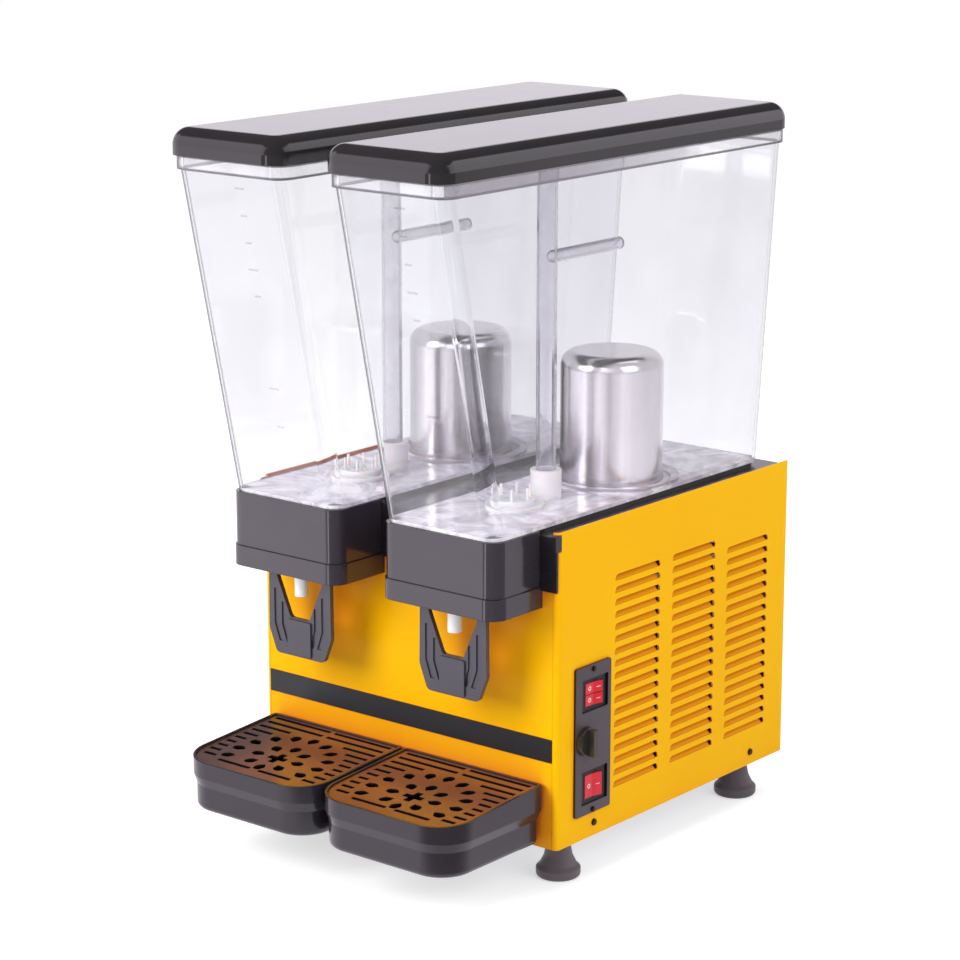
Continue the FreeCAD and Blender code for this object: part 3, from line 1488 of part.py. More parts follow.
def make_fan():
    x, y, z = FAN_X, FAN_Y, FAN_Z
    low = TRAY_FLOOR
    near, far = size.condenser_front, size.condenser_front + size.condenser_width
    face = size.condenser_x
    sheet, bar_sheet, leg_width = size.fan_shroud_sheet, size.motor_bar_sheet, size.motor_bar_leg
    ring = size.fan_radius + 6
    motor = size.fan_motor_radius
    bar_low = z - motor - size.motor_bar_past
    bar_high = z + motor + size.motor_bar_past
    wall = new_body("fan_shroud")
    slab(wall, "shroud_plate", "YZ", face - sheet, face,
         [rectangle(near, far, low, low + size.condenser_height)])
    slab(wall, "shroud_ring", "YZ", face - size.shroud_depth, face - sheet, [Round(y, z, ring)])
    slab(wall, "fan_opening", "YZ", face - size.shroud_depth, face, [Round(y, z, ring - 2)],
         hollow=True)
    bar_x = face - size.motor_bar_back
    slab(wall, "motor_bar", "YZ", bar_x, bar_x + bar_sheet, [rectangle(near, far, bar_low, bar_high)])
    for number, start in enumerate((near, far - leg_width), start=1):
        leg = rectangle(bar_x, face, start, start + leg_width)
        slab(wall, f"bar_leg_{number}", "XY", bar_low, bar_high, [leg])
    slab(wall, "motor_hole", "YZ", bar_x, bar_x + bar_sheet, [Round(y, z, motor + size.gap)],
         hollow=True)
    piece("fan_shroud", wall)
    shaft, back = size.motor_shaft, -size.fan_motor_back
    nose = x - size.fan_motor_nose
    case = turned("fan_motor_case", (bar_x, y, z), [
        (0, back), (motor, back, 4), (motor, 3), (motor + 6, 3), (motor + 6, 6), (motor - 4, 6),
        (motor - 4, nose - bar_x), (shaft, nose - bar_x), (shaft, nose - bar_x + 13),
        (0, nose - bar_x + 13),
    ], "X")
    piece("fan_motor", case)
    hub = turned("fan_hub", (nose + 1, y, z), [
        (shaft + size.fit, 0), (size.fan_hub, 0), (size.fan_hub, 16, 3), (0, 16),
        (0, 12 + size.gap), (shaft + size.fit, 12 + size.gap),
    ], "X")
    blades = []
    for number in range(5):
        blade = doc.addObject("Part::Box", f"fan_blade_{number}")
        bind(blade, "Length", 2)
        bind(blade, "Width", size.fan_blade)
        bind(blade, "Height", size.fan_radius - size.fan_hub + 2)
        spin = Rotation(ALONG["X"], 72 * number)
        pitch = Rotation(ALONG["Z"], -25)
        start = Vector(-1, -float(size.fan_blade) / 2, float(size.fan_hub) - 2)
        turn = spin.multiply(pitch)
        blade.Placement = Placement(Vector(x, y, z) + turn.multVec(start), turn)
        blades.append(blade)
    piece("fan", fuse("fan_whole", [hub] + blades))


def make_pipes():
    radius = size.pipe_radius
    drier_low = size.foot_height + size.drier_up
    drier = rod("drier", (size.drier_x, size.drier_y, drier_low), "Z", size.drier_length,
                size.drier_radius)
    piece("filter_drier", drier)
    top, roof = size.compressor_top, size.deck_top + 4 - size.gap
    pot_x, pot_y = size.compressor_x, size.compressor_y
    cond_x = size.condenser_x + size.condenser_depth / 2
    cond_low = TRAY_FLOOR
    cond_top = cond_low + size.condenser_height
    rear = size.condenser_front + size.condenser_width
    drier_top = drier_low + size.drier_length
    left, right = tank_x(-1), tank_x(1)
    near, far = size.dome_y - size.pipe_apart, size.dome_y + size.pipe_apart
    thin = radius / 2
    hot, back = top + size.hot_pipe_rise, top + size.return_pipe_rise
    feeds = (top + size.left_feed_rise, top + size.right_feed_rise)
    into_low = cond_low + size.condenser_tube_low
    runs = [
        ([(pot_x + 18, pot_y, top), (pot_x + 18, pot_y, hot), (cond_x, pot_y, hot),
          (cond_x, pot_y, cond_top)], radius),
        ([(cond_x, rear, into_low), (cond_x, size.drier_y, into_low),
          (size.drier_x, size.drier_y, into_low - 14), (size.drier_x, size.drier_y, drier_low)],
         radius),
        ([(left, near, roof), (left, near, back), (pot_x - 16, pot_y, back),
          (pot_x - 16, pot_y, top)], radius),
        ([(right, near, roof), (right, near, back), (pot_x + 6, near, back),
          (pot_x, pot_y - 18, back), (pot_x, pot_y - 18, top)], radius),
    ]
    for x, end, feed in ((size.drier_x - 4, left, feeds[0]), (size.drier_x + 4, right, feeds[1])):
        runs.append(([(x, size.drier_y, drier_top), (x, size.drier_y, feed), (x, far, feed),
                      (end, far, feed), (end, far, roof)], thin))
    pipes = [round_tube(points, size_of, size.pipe_bend) for points, size_of in runs]
    piece("refrigerant_pipes", shaped("pipe_shapes", Part.makeCompound(pipes)))


def check(items):
    """Stop if anything failed to recompute or came out broken."""
    for item in doc.Objects:
        if "Invalid" in item.State or "Error" in item.State:
            raise RuntimeError(f"{item.Label} failed: {item.State}")
    for label, item in items:
        if item.Shape.isNull() or not item.Shape.isValid():
            raise RuntimeError(f"{label} has no valid shape")


def main():
    make_base_tray()
    make_front_panel()
    make_rear_panel()
    make_cord_gland()
    make_top_deck()
    make_feet()
    make_case_screws()
    make_tap_housings()
    make_outlet_tubes()
    make_lever_pins()
    make_tray_brackets()
    make_evaporators()
    make_pump_drives()
    make_controls()
    make_compressor()
    make_condenser()
    make_fan()
    make_pipes()
    for name, side in SIDES.items():
        make_side_panel(name, side)
        make_tap_lever(name, side)
        make_lever_spring(name, side)
        make_drip_tray(name, side)
        make_drip_grille(name, side)
        make_tank(name, side)
        make_lid(name, side)
        make_pump_base(name, side)
        make_pump_cover(name, side)
        make_riser(name, side)
        make_impeller(name, side)
    doc.recompute()
    check(pieces)
    os.makedirs("parts", exist_ok=True)
    for label, item in pieces:
        item.Shape.exportStep(f"parts/{label}.step")
        extent = item.Shape.BoundBox
        print(label, len(item.Shape.Solids), [round(v, 1) for v in (
            extent.XMin, extent.XMax, extent.YMin, extent.YMax, extent.ZMin, extent.ZMax)])
    print("pieces", len(pieces))


main()
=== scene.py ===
"""Twin-tank drink dispenser: its finishes, its finer pieces, and the studio round it.

Lengths named in millimetres follow the cabinet: X from its middle to the switch side, Y from the
front panel to the rear, Z up from the counter. `spot` turns them into the frame's metres.
"""

import math

import bpy
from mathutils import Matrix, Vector


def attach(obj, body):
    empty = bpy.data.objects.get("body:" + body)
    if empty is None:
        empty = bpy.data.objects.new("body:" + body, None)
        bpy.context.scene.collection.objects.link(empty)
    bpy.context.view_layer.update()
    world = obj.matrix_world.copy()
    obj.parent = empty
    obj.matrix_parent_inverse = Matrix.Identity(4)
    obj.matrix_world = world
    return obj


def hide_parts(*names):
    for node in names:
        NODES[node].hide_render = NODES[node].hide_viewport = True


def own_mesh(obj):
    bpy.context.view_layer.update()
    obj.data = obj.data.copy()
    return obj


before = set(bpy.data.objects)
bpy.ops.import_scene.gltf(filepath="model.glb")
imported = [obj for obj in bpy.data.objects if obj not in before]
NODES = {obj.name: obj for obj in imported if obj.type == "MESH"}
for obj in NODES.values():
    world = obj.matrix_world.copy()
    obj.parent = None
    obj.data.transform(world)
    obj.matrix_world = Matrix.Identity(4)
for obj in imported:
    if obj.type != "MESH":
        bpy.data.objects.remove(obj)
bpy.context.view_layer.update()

CABINET_AT = Vector((-6.4, -124.1, 0))

# The tanks' middles lie at +-TANK_X. Over their rise the front and rear lean outwards this far.
TANK_LOW, TANK_FLOOR, TANK_RISE = 341, 344, 311
TANK_X, TANK_HALF, TANK_CORNER = 93.8, 65, 14
TANK_FRONT, TANK_LEAN, TANK_REAR, TANK_REAR_LEAN = -63.5, -67.5, 352, 29
FRONT_WALL, SIDE_WALL = 5, 4
RIM_LOW, RIM_FIRST_LIP, RIM_SECOND_LIP = 652, 1.5, 11
RIM_SHADE_FROM, RIM_SHADE_TO = -40, 300

# Each volume mark's height on the tank, and half its width.
MARKS_OFFSET, MARK_HALF_HEIGHT = 13, 0.9
VOLUME_MARKS = ((640, 6), (615, 4), (590, 4), (565, 6), (540, 4), (452, 6), (415, 4))

# The rockers' middles, and the signs on their faces.
ROCKER_HEIGHTS = (185.55, 174.45, 91.5)
ROCKER_Y = 53
RING_BEFORE, RING_RADIUS, RING_LINE = 6, 1.8, 1.7
BAR_BEHIND, BAR_HALF_LENGTH, BAR_HALF_LINE = 5, 2.2, 0.35
SIGN_REACH = 4

PLATE_FACE, PLATE_RECESS = 182.5, 0.7
DOME_Y, DOME_TOP = 191, 468

# The grilles' top: its height at the cabinet's front face, and how much it falls each millimetre.
GRILLE_REAR, GRILLE_FALL = 102.2, 0.0624
# Across these the grilles' painted reflection of the yellow panel grows from a quarter to full.
GRILLE_REFLECTION_LOW_X, GRILLE_REFLECTION_FULL_X = -150, -70


def spot(x, y, z):
    """A place on the cabinet, in millimetres, as a point of the frame."""
    return (Vector((x, y, z)) + CABINET_AT) / 1000


# The photograph's viewpoint.

camera = bpy.data.objects.new("camera", bpy.data.cameras.new("camera"))
bpy.context.scene.collection.objects.link(camera)
bpy.context.scene.camera = camera
camera.data.sensor_width = 36
camera.data.lens = 110.03
camera.data.clip_start = 0.05
camera.location = spot(1719.97, -1998.70, 1004.47)
camera.rotation_euler = (math.radians(90 - 13.686), 0, math.radians(39.2))


# Shader maths.

class Wire:
    """One output of a shader node. Arithmetic on it adds Math nodes."""

    def __init__(self, finish, socket):
        self.finish = finish
        self.socket = socket

    def worked(self, operation, first, second):
        return self.finish.node("Math", {"operation": operation}, {0: first, 1: second})

    def __add__(self, other):
        return self.worked("ADD", self, other)

    def __mul__(self, other):
        return self.worked("MULTIPLY", self, other)

    def __sub__(self, other):
        return self.worked("SUBTRACT", self, other)

    def __rsub__(self, other):
        return self.worked("SUBTRACT", other, self)

    def __gt__(self, other):
        return self.worked("GREATER_THAN", self, other)

    def __lt__(self, other):
        return self.worked("LESS_THAN", self, other)

    def __abs__(self):
        return self.worked("ABSOLUTE", self, 0.0)

    __radd__ = __add__


class Finish:
    """A material under construction."""

    def __init__(self, name):
        self.material = bpy.data.materials.new(name)
        self.material.use_nodes = True
        self.tree = self.material.node_tree
        self.shader = self.tree.nodes["Principled BSDF"]

    def node(self, kind, settings=None, inputs=None, output=0):
        """A new node: its settings, then what its sockets take, and the output asked for."""
        made = self.tree.nodes.new("ShaderNode" + kind)
        for key, value in (settings or {}).items():
            if key == "stops":
                ramp = made.color_ramp.elements
                while len(ramp) < len(value):
                    ramp.new(0.5)
                for stop, (place, colour) in zip(ramp, value):
                    stop.position = place
                    stop.color = (*colour, 1) if len(colour) == 3 else colour
            else:
                setattr(made, key, value)
        for key, value in (inputs or {}).items():
            self.feed(made.inputs[key], value)
        return Wire(self, made.outputs[output])

    def feed(self, socket, value):
        """Links a wire to the socket, or sets the value that it holds."""
        if isinstance(value, Wire):
            self.tree.links.new(value.socket, socket)
        elif socket.type == "RGBA" and len(value) == 3:
            socket.default_value = (*value, 1)
        else:
            socket.default_value = value

    def body(self):
        """The shader that `set` feeds."""
        return Wire(self, self.shader.outputs[0])

    def place(self):
        """Where a point is in the frame, in metres."""
        return self.node("TexCoord", output="Object")

    def axes(self):
        """The same point as three numbers."""
        split = self.node("SeparateXYZ", inputs={"Vector": self.place()})
        return [split] + [Wire(self, split.socket.node.outputs[n]) for n in (1, 2)]

    def noise(self, scale, detail=3, roughness=0.5, stretch=(1, 1, 1)):
        spread = self.node("Mapping", inputs={"Vector": self.place(), "Scale": stretch})
        return self.node("TexNoise", inputs={
            "Vector": spread, "Scale": scale, "Detail": detail, "Roughness": roughness})

    def between(self, share, low, high):
        """A colour between two, by a share from 0 to 1."""
        return self.node("Mix", {"data_type": "RGBA"}, {0: share, 6: low, 7: high}, output=2)

    def ranged(self, value, low, high, to_low=0.0, to_high=1.0):
        return self.node("MapRange", inputs={
            "Value": value, "From Min": low, "From Max": high, "To Min": to_low, "To Max": to_high})

    def bump(self, height, strength, distance, edge=0.0):
        """A bumpy skin, over edges that are broken by this radius in millimetres."""
        skin = {"Height": height, "Strength": strength, "Distance": distance}
        if edge:
            skin["Normal"] = self.node("Bevel", {"samples": 4}, {"Radius": edge / 1000})
        return self.node("Bump", inputs=skin)

    def smooth(self, value, low, high, to_low=0.0, to_high=1.0):
        """Like ranged, with soft ends."""
        return self.node("MapRange", {"interpolation_type": "SMOOTHSTEP"}, {
            "Value": value, "From Min": low, "From Max": high, "To Min": to_low, "To Max": to_high})

    def show(self, surface):
        """Ends the material in this shader."""
        self.tree.links.new(surface.socket, self.tree.nodes["Material Output"].inputs["Surface"])

    def set(self, **sockets):
        """Values or wires for the shader's own sockets, with _ for a space in their names."""
        for key, value in sockets.items():
            self.feed(self.shader.inputs[key.replace("_", " ")], value)
        return self


def srgb(code):
    """A colour as a screen shows it, such as F4B806, in the linear values that shaders take."""
    parts = [int(code[i:i + 2], 16) / 255 for i in (0, 2, 4)]
    return tuple(p / 12.92 if p <= 0.04045 else ((p + 0.055) / 1.055) ** 2.4 for p in parts)


def varied(finish, dark, light, scale, stretch=(1, 1, 1)):
    """A colour that drifts between two tones over the surface."""
    cloud = finish.noise(scale, 4, 0.55, stretch)
    return finish.between(finish.ranged(cloud, 0.3, 0.7), srgb(dark), srgb(light))


def moulded(name, dark, light, roughness, grain=0.06, coat=0.0, edge=0.0):
    """Moulded plastic: a drifting tone, a fine skin and faint handling marks."""
    finish = Finish(name)
    skin = finish.noise(900, 2)
    wear = finish.noise(38, 5, 0.65)
    finish.set(
        Base_Color=varied(finish, dark, light, 9),
        Roughness=finish.ranged(wear, 0.25, 0.75, roughness * 0.8, roughness * 1.25),
        Normal=finish.bump(skin, grain, 0.0002, edge),
        Coat_Weight=coat,
        Coat_Roughness=0.06)
    return finish.material


def plated(name, dark, light, roughness, stretch=(1, 1, 1), grain=0.12):
    """Bare or plated metal, with its grain drawn out along the stretch."""
    finish = Finish(name)
    lines = finish.noise(260, 4, 0.6, stretch)
    finish.set(
        Base_Color=varied(finish, dark, light, 24, stretch),
        Metallic=1.0,
        Roughness=finish.ranged(lines, 0.3, 0.7, roughness * 0.7, roughness * 1.3),
        Normal=finish.bump(lines, grain, 0.0002))
    return finish.material


def yellow_paint():
    """Baked gloss paint with orange peel. Where it faces itself, a painted shade turns it a deep
    orange.
    """
    finish = Finish("yellow_paint")
    drift = finish.ranged(finish.noise(5, 3), 0.3, 0.7)
    face = finish.between(drift, srgb("F3B303"), srgb("F6BA06"))
    # Painted shade: where ambient occlusion closes in, the yellow is painted a deep orange.
    shaded_orange = finish.between(drift, srgb("EE7422"), srgb("F47C2A"))
    openness = finish.node("AmbientOcclusion", inputs={"Distance": 0.07}, output=1)
    finish.set(
        Base_Color=finish.between(finish.ranged(openness, 0.3, 0.92), shaded_orange, face),
        Roughness=finish.ranged(finish.noise(30, 4), 0.3, 0.7, 0.16, 0.24),
        Normal=finish.bump(finish.noise(520, 2), 0.04, 0.0003),
        Specular_IOR_Level=0.05)
    return finish.material


def clear_plastic(name):
    """Clear polycarbonate, whose tint is still to be set."""
    finish = Finish(name)
    finish.set(
        Roughness=finish.ranged(finish.noise(60, 3), 0.3, 0.7, 0.01, 0.03),
        Transmission_Weight=1.0,
        IOR=1.46,
        Specular_IOR_Level=0.25)
    return finish


def see_through(finish, cover, coating, thick):
    """Ends the material: clear under a share of cover, and light passes it as a clear sheet.

    Where it is thick and the eye looks along its skin, the plastic is painted grey, a painted shade
    for the dark lines along its edges.
    """
    skin = finish.node("LayerWeight", inputs={"Blend": 0.5}, output="Facing")
    # Painted shade: a grey sheet mixed in where thick plastic is seen edge-on.
    edge_shade = finish.node("BsdfPrincipled", inputs={
        "Base Color": srgb("5C5962"), "Roughness": 0.3, "Specular IOR Level": 0.2})
    covered = finish.node("MixShader", inputs={0: cover, 1: finish.body(), 2: coating})
    edged = finish.node("MixShader", inputs={
        0: finish.smooth(skin, 0.36, 0.72) * thick, 1: covered, 2: edge_shade})
    through = finish.node("BsdfTransparent", inputs={"Color": srgb("F2F0F5")})
    shadow = finish.node("LightPath", output="Is Shadow Ray")
    finish.show(finish.node("MixShader", inputs={0: shadow, 1: edged, 2: through}))
    return finish.material


def riser_plastic():
    """The clear risers, with a film of limescale."""
    finish = clear_plastic("riser_plastic")
    finish.set(Base_Color=varied(finish, "F0EFF3", "F6F5F8", 14))
    film = finish.node("BsdfPrincipled", inputs={"Base Color": srgb("DDD9E0"), "Roughness": 0.3})
    return see_through(finish, finish.ranged(finish.noise(90, 4), 0.4, 0.8, 0.02, 0.14), film, 0.35)


def tank_plastic():
    """The tanks: a floor hazed pale in streaks as a painted reflection, a stiff rim with painted
    highlight and painted shade lines, walls greyed by painted shade, and plain volume marks on the
    front.
    """
    finish = clear_plastic("tank_plastic")
    x, y, z = finish.axes()
    up = z * 1000
    from_middle = x * 1000 - CABINET_AT.x
    depth = y * 1000 - CABINET_AT.y
    rise = (up - TANK_LOW) * (1 / TANK_RISE)
    behind_front = depth - rise * TANK_LEAN - TANK_FRONT
    before_rear = rise * TANK_REAR_LEAN + TANK_REAR - depth
    off_centre = abs(abs(from_middle) - TANK_X)
    corner = (off_centre > TANK_HALF - TANK_CORNER) * (
        (behind_front < TANK_CORNER) + (before_rear < TANK_CORNER) * 0.3)
    far_side = from_middle > TANK_X + TANK_HALF - SIDE_WALL
    # Painted shade: the left tank's front wall and the right tank's far side wall are tinted greyer
    # than the rest.
    shaded_walls = (behind_front < FRONT_WALL) * (from_middle < 0) + far_side
    clear = finish.between(shaded_walls > 0.5, srgb("F9F9FB"), srgb("F0EFF3"))
    waves = finish.ranged(finish.noise(14, 3), 0.3, 0.7, 0.96, 1.0)
    finish.set(Base_Color=finish.between(waves, (0, 0, 0), clear))
    # Painted reflection: the floor slab is coated pale in streaks, for the bright reflection it
    # shows.
    slab = (up > TANK_LOW - 1) * (up < TANK_FLOOR + 0.3)
    painted_sheen_noise = finish.node("TexNoise", inputs={
        "Vector": finish.place(), "Scale": 24, "Detail": 5, "Roughness": 0.6, "Distortion": 1.6})
    streaks = finish.ranged(painted_sheen_noise, 0.36, 0.62)
    from_marks = abs(from_middle - ((from_middle > 0) * 2 - 1) * TANK_X - MARKS_OFFSET)
    marks = sum((abs(up - level) < MARK_HALF_HEIGHT) * (from_marks < half)
                for level, half in VOLUME_MARKS)
    marks = marks * (behind_front < 0.3)
    # Painted highlight and shade on the rim: its two lips are painted as dark lines, the band
    # between them pale.
    rim = up > RIM_LOW - 1
    lip_shade = (up < RIM_LOW + RIM_FIRST_LIP) + (up > RIM_LOW + RIM_SECOND_LIP)
    # Painted shade: the rim's outer side is greyed, most at the front and fading toward the rear.
    shade = finish.smooth(depth, RIM_SHADE_FROM, RIM_SHADE_TO, 0.5, 0.0)
    outer_rim_shade = (from_middle > TANK_X + TANK_HALF - 2) * shade
    tone = finish.between(streaks, srgb("D0CAD4"), srgb("FEFCFF"))
    # The volume marks are printed; the rim's lips take the same dark grey as painted shade lines.
    tone = finish.between(rim * lip_shade + marks, tone, srgb("5E5B63"))
    tone = finish.between(rim * (outer_rim_shade > 0.05), tone, srgb("7C7580"))
    coating = finish.node("BsdfPrincipled", inputs={
        "Base Color": tone, "Roughness": 0.12, "Specular IOR Level": 0.7})
    cover = slab * (streaks * 0.4 + 0.55) + marks * 0.3 + rim * (lip_shade * 0.6 + 0.15 + outer_rim_shade)
    return see_through(finish, cover, coating, corner * 0.85)


def milky_plastic():
    finish = Finish("milky_plastic")
    finish.set(
        Base_Color=varied(finish, "DAD5D2", "E6E2E0", 30),
        Roughness=finish.ranged(finish.noise(70, 3), 0.3, 0.7, 0.25, 0.4),
        Normal=finish.bump(finish.noise(700, 2), 0.08, 0.0002),
        Subsurface_Weight=0.4,
        Subsurface_Scale=0.01)
    return finish.material


def drawn_stainless():
    """Deep-drawn bright steel: painted upright bands of light and dark reflection under a plain
    crown.
    """
    finish = Finish("drawn_stainless")
    x, y, z = finish.axes()
    across = abs(x * 1000 - CABINET_AT.x) - TANK_X
    side = (x * 1000 > CABINET_AT.x) * 2 - 1
    along = y * 1000 - CABINET_AT.y - DOME_Y
    turn = along.worked("ARCTAN2", along, across * side) * (0.5 / math.pi) + 0.5
    wander = finish.ranged(finish.noise(30, 3, 0.5, (1, 1, 0.1)), 0.3, 0.7, -0.006, 0.006)
    # Painted reflection: light and dark upright bands by the turn round the dome.
    painted_bands = finish.node("ValToRGB", {"stops": [
        (0.0, (0.8, 0.8, 0.8)), (0.1, (0.35, 0.35, 0.35)), (0.185, (0.45, 0.45, 0.45)),
        (0.246, (1, 1, 1)), (0.298, (0.5, 0.5, 0.5)), (0.318, (0.85, 0.85, 0.85)),
        (0.352, (0.38, 0.38, 0.38)), (0.386, (0.95, 0.95, 0.95)), (0.42, (0.72, 0.72, 0.72)),
        (0.6, (0.76, 0.76, 0.76)), (0.7, (0.45, 0.45, 0.45)), (0.76, (0.9, 0.9, 0.9)),
        (0.83, (0.4, 0.4, 0.4)), (0.9, (0.8, 0.8, 0.8))]}, {0: turn + wander})
    crown = finish.smooth(z * 1000, DOME_TOP - 16, DOME_TOP - 6)
    share = painted_bands * (1 - crown) + crown * 0.75
    grain = finish.noise(240, 3, 0.6, (1, 1, 0.03))
    finish.set(
        Base_Color=finish.between(share, srgb("7B7476"), srgb("EDE8EC")),
        Metallic=1.0,
        Roughness=finish.ranged(grain, 0.3, 0.7, 0.16, 0.24),
        Normal=finish.bump(grain, 0.05, 0.0002))
    return finish.material


def rocker_red():
    """Red rockers with a pale ring on the front half and a pale bar on the rear half."""
    finish = Finish("rocker_red")
    _, y, z = finish.axes()
    depth = y * 1000 - CABINET_AT.y - ROCKER_Y
    before = depth + RING_BEFORE
    behind = abs(depth - BAR_BEHIND)
    mark = 0
    for middle in ROCKER_HEIGHTS:
        up = z * 1000 - middle
        ring = abs(up * up + before * before - RING_RADIUS ** 2) < RING_LINE
        bar = (abs(up) < BAR_HALF_LINE) * (behind < BAR_HALF_LENGTH)
        mark = (ring + bar) * (abs(up) < SIGN_REACH) + mark
    red = varied(finish, "CC1A28", "DA2633", 40)
    finish.set(
        Base_Color=finish.between(mark > 0.5, red, srgb("F3C9CC")),
        Roughness=finish.ranged(finish.noise(60, 3), 0.3, 0.7, 0.16, 0.26),
        Normal=finish.bump(finish.noise(900, 2), 0.03, 0.0002, 0.4))
    return finish.material


def plate_plastic():
    """The switch plate: matt, and painted shade makes it black down in its recesses."""
    finish = Finish("plate_plastic")
    x, _, _ = finish.axes()
    # Painted shade: faces sunk below the plate's face are painted near black.
    sunk_shade = x * 1000 < PLATE_FACE + CABINET_AT.x - PLATE_RECESS
    face = varied(finish, "423A3F", "4A4147", 12)
    finish.set(
        Base_Color=finish.between(sunk_shade, face, srgb("0B0A0B")),
        Roughness=finish.ranged(finish.noise(38, 5, 0.65), 0.25, 0.75, 0.3, 0.44),
        Normal=finish.bump(finish.noise(900, 2), 0.1, 0.0002, 0.5))
    return finish.material


def grille_plastic():
    """Glossy drip grilles: a painted warm reflection of the yellow panel on top, weaker away to the
    left, and painted shade dark down in their holes.
    """
    finish = Finish("grille_plastic")
    x, y, z = finish.axes()
    top = (y * 1000 - CABINET_AT.y) * GRILLE_FALL + GRILLE_REAR
    # Painted shade: the holes below the grille's top are painted near black.
    sunk_shade = top - z * 1000 > 0.5
    from_middle = x * 1000 - CABINET_AT.x
    # Painted reflection: the top takes a warm brown from the yellow panel, fading toward the left.
    reflection_share = finish.smooth(from_middle, GRILLE_REFLECTION_LOW_X, GRILLE_REFLECTION_FULL_X, 0.25, 1.0)
    cool = varied(finish, "30292C", "392F31", 12)
    reflected_yellow = varied(finish, "78462C", "864E32", 12)
    finish.set(
        Base_Color=finish.between(sunk_shade, finish.between(reflection_share, cool, reflected_yellow), srgb("191416")),
        Roughness=finish.ranged(finish.noise(38, 5, 0.65), 0.25, 0.75, 0.17, 0.26),
        Normal=finish.bump(finish.noise(900, 2), 0.05, 0.0002, 0.4))
    return finish.material


FINISHES = {
    "yellow_paint": yellow_paint(),
    "band_black": moulded("band_black", "15181A", "1A1D1F", 0.4, 0.1),
    "housing_plastic": moulded("housing_plastic", "302B31", "37323A", 0.15, 0.03, 0.3, 1.2),
    "lever_plastic": moulded("lever_plastic", "3D3A42", "45414A", 0.22, 0.05, 0.1, 0.6),
    "tray_plastic": moulded("tray_plastic", "221E25", "29242B", 0.18, 0.04, 0.2, 0.8),
    "grille_plastic": grille_plastic(),
    "lid_plastic": moulded("lid_plastic", "242124", "2A272A", 0.1, 0.02),
    "deck_plastic": moulded("deck_plastic", "1E1B1E", "272428", 0.24, 0.06, 0.1, 0.8),
    "plate_plastic": plate_plastic(),
    "switch_black": moulded("switch_black", "121112", "191719", 0.38, 0.08),
    "knob_black": moulded("knob_black", "27241F", "312E29", 0.22, 0.05, 0.2, 0.5),
    "rocker_red": rocker_red(),
    "riser_plastic": riser_plastic(),
    "tank_plastic": tank_plastic(),
    "milky_plastic": milky_plastic(),
    "drawn_stainless": drawn_stainless(),
    "foot_rubber": moulded("foot_rubber", "52494D", "5F565A", 0.5, 0.2),
    "seal_rubber": moulded("seal_rubber", "B9B3B3", "C6C1C1", 0.4, 0.1),
    "white_silicone": moulded("white_silicone", "E3E3E6", "EDEDF0", 0.4, 0.05),
    "plated_steel": plated("plated_steel", "8C8A88", "A19F9C", 0.32),
    "blackened_steel": plated("blackened_steel", "3A332D", "4C443C", 0.34),
    "galvanised": plated("galvanised", "8E9092", "A4A6A8", 0.42, (1, 1, 1), 0.2),
    "spring_steel": plated("spring_steel", "7C7B7A", "908F8D", 0.28, (1, 1, 0.2)),
    "case_enamel": moulded("case_enamel", "1A1A1C", "222225", 0.3, 0.1),
    "fin_aluminium": plated("fin_aluminium", "B4B6B9", "C6C8CB", 0.35, (0.1, 1, 1)),
    "drawn_copper": plated("drawn_copper", "B4704A", "C98460", 0.3),
    "motor_steel": plated("motor_steel", "77787A", "8C8D8F", 0.36),
    "fan_plastic": moulded("fan_plastic", "2A2B2E", "34353A", 0.4, 0.08),
}

WORN_BY = {
    "yellow_paint": ["front_panel", "left_side_panel", "right_side_panel"],
    "band_black": ["front_band"],
    "housing_plastic": ["tap_housings", "housing_rims"],
    "lever_plastic": ["left_tap_lever", "right_tap_lever"],
    "tray_plastic": ["left_drip_tray", "right_drip_tray"],
    "grille_plastic": ["left_drip_grille", "right_drip_grille"],
    "lid_plastic": ["left_lid", "right_lid"],
    "deck_plastic": ["top_deck"],
    "plate_plastic": ["control_plate"],
    "switch_black": ["twin_switch_body", "main_switch_body", "thermostat", "cord_gland"],
    "knob_black": ["thermostat_knob"],
    "rocker_red": ["left_pump_rocker", "right_pump_rocker", "main_rocker"],
    "riser_plastic": ["left_riser", "right_riser"],
    "tank_plastic": ["left_tank", "right_tank"],
    "milky_plastic": ["left_pump_base", "right_pump_base", "left_pump_cover", "right_pump_cover",
                      "left_impeller", "right_impeller"],
    "drawn_stainless": ["evaporator_domes"],
    "foot_rubber": ["feet", "compressor_mounts"],
    "seal_rubber": ["dome_seals"],
    "white_silicone": ["outlet_tubes"],
    "plated_steel": ["foot_screws", "lever_pins"],
    "blackened_steel": ["case_screws"],
    "galvanised": ["rear_panel", "base_tray", "fan_shroud", "motor_brackets", "tray_brackets"],
    "spring_steel": ["left_lever_spring", "right_lever_spring"],
    "case_enamel": ["compressor"],
    "fin_aluminium": ["condenser"],
    "drawn_copper": ["refrigerant_pipes", "evaporator_coils", "filter_drier"],
    "motor_steel": ["pump_motors", "fan_motor", "left_magnet_rotor", "right_magnet_rotor"],
    "fan_plastic": ["fan"],
}

for finish_name, wearers in WORN_BY.items():
    for wearer in wearers:
        NODES[wearer].data.materials.clear()
        NODES[wearer].data.materials.append(FINISHES[finish_name])


# The lever springs.

def lever_spring(side):
    """A copy of a lever's return spring, held on the cabinet in place of the solid one."""
    solid = side + "_lever_spring"
    spring = bpy.data.objects.new(side + "_return_spring", NODES[solid].data.copy())
    bpy.context.scene.collection.objects.link(spring)
    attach(spring, "cabinet")
    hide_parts(solid)
    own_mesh(spring)


for side in ("left", "right"):
    lever_spring(side)


# The studio.

NEAR_CORNER = spot(180, -70, 0)
LILAC = (1.0, 0.94, 1.03)
VIEW_SIDE = (0.775, -0.632)
ALONG = (0.632, 0.775)


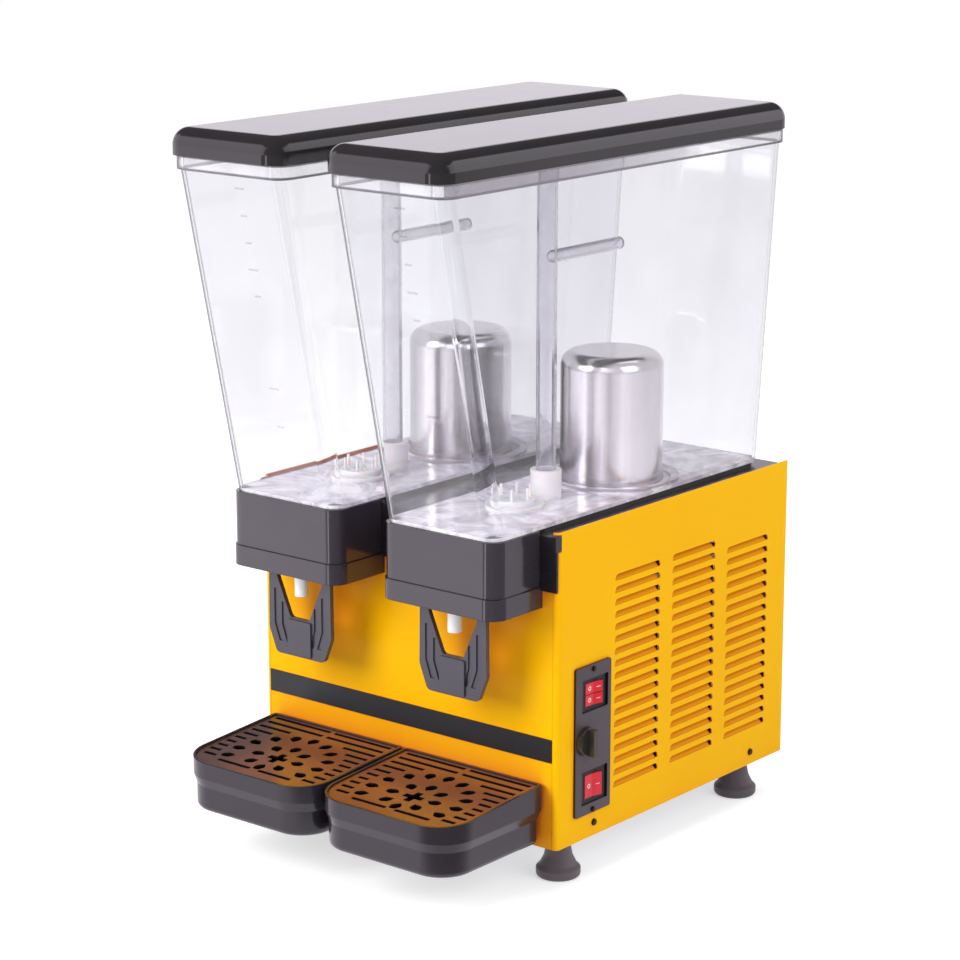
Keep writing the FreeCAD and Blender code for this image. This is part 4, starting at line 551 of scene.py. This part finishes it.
def studio_floor():
    """A white floor that keeps a soft shadow. Mirror-like faces see it as lit and dark panels."""
    finish = Finish("studio_white")
    shade = finish.noise(0.7, 2)
    drift = finish.ranged(shade, 0.3, 0.7)
    finish.set(
        Base_Color=finish.between(drift, (0.8, 0.8, 0.8), (0.82, 0.82, 0.82)),
        Roughness=0.6,
        Specular_IOR_Level=0.0)
    camera_ray, glossy_ray, through_ray = (
        finish.node("LightPath", output=name)
        for name in ("Is Camera Ray", "Is Glossy Ray", "Is Transmission Ray"))
    x, y, _ = finish.axes()
    nearer = (x - NEAR_CORNER.x) * VIEW_SIDE[0] + (y - NEAR_CORNER.y) * VIEW_SIDE[1]
    lit = finish.smooth(nearer, 0.0, 0.16, 1.0, 0.0)
    along = x * ALONG[0] + y * ALONG[1]
    right = finish.smooth(along, -0.1, 0.25, 0.0, 1.0)
    by_trays = finish.smooth(y, -0.9, -0.5, 1.75, 1.2)
    turn = x.worked("ARCTAN2", y + 0.15, x)
    strip = finish.smooth(abs(turn + 1.76), 0.03, 0.12, 3.5, 0.0) * (y < -0.9)
    panel = lit * (by_trays * (1 - right) + right * 0.85) + (1 - lit) * 0.25 + strip
    mirrored = glossy_ray * (1 - through_ray)
    straight = (camera_ray + through_ray > 0.5) * 0.5
    tone = finish.between(mirrored, (1, 1, 1), LILAC)
    glow = finish.node("Emission", inputs={"Color": tone, "Strength": mirrored * panel + straight})
    plain = finish.node("MixShader", inputs={0: mirrored, 1: finish.body()})
    finish.show(finish.node("AddShader", inputs={0: plain, 1: glow}))
    mesh = bpy.data.meshes.new("floor")
    reach = 12
    corners = [(-reach, -reach, 0), (reach, -reach, 0), (reach, reach, 0), (-reach, reach, 0)]
    mesh.from_pydata(corners, [], [(0, 1, 2, 3)])
    floor = bpy.data.objects.new("floor", mesh)
    bpy.context.scene.collection.objects.link(floor)
    mesh.materials.append(finish.material)


class Sky(Finish):
    """The world's nodes, worked like a finish's."""

    def __init__(self):
        self.world = bpy.data.worlds.new("studio")
        self.world.use_nodes = True
        self.tree = self.world.node_tree
        self.shader = self.tree.nodes["Background"]

    def place(self):
        return self.node("TexCoord", output="Generated")


def studio_sky():
    """White all round. Mirror-like faces see a bright low rear wall, and dark by the camera."""
    sky = Sky()
    bpy.context.scene.world = sky.world
    glossy_ray, through_ray, camera_ray = (
        sky.node("LightPath", output=name)
        for name in ("Is Glossy Ray", "Is Transmission Ray", "Is Camera Ray"))
    x, y, z = sky.axes()
    rearness = y * 0.775 - x * 0.632
    edge = sky.smooth(rearness, 0.35, 0.65, 0.6, 0.33)
    low = sky.smooth(z - edge, -0.03, 0.03, 1.0, 0.0)
    rear_wall = sky.ranged(z, 0.12, 0.3, 1.12, 1.0)
    rear = sky.smooth(rearness, 0.35, 0.65)
    wall = rear * rear_wall + (1 - rear) * 1.5
    panel = low * sky.smooth(rearness, -0.6, -0.35) * wall + 0.1
    mirrored = glossy_ray * (1 - through_ray)
    straight = (camera_ray + through_ray > 0.5) * 1.0
    diffuse = (1 - mirrored) * (1 - straight) * 0.62
    tone = sky.between(mirrored, (1, 1, 1), LILAC)
    sky.set(Color=tone, Strength=mirrored * panel + straight + diffuse)


def lamp(name, place, towards, size, power):
    data = bpy.data.lights.new(name, "AREA")
    data.shape = "RECTANGLE"
    data.size, data.size_y = size
    data.energy = power
    made = bpy.data.objects.new(name, data)
    bpy.context.scene.collection.objects.link(made)
    made.location = place
    made.visible_glossy = False
    made.rotation_euler = (Vector(towards) - Vector(place)).to_track_quat("-Z", "Y").to_euler()


studio_floor()
studio_sky()
lamp("front_softbox", (-1.0, -2.4, 1.5), (0, 0, 0.3), (1.6, 1.8), 64)
lamp("side_softbox", (2.4, -0.4, 1.5), (0, 0, 0.3), (1.4, 1.6), 21)
lamp("top_softbox", (0.1, 0.5, 2.6), (0, 0, 0.5), (1.6, 1.6), 20)

bpy.context.scene.view_settings.view_transform = "Standard"
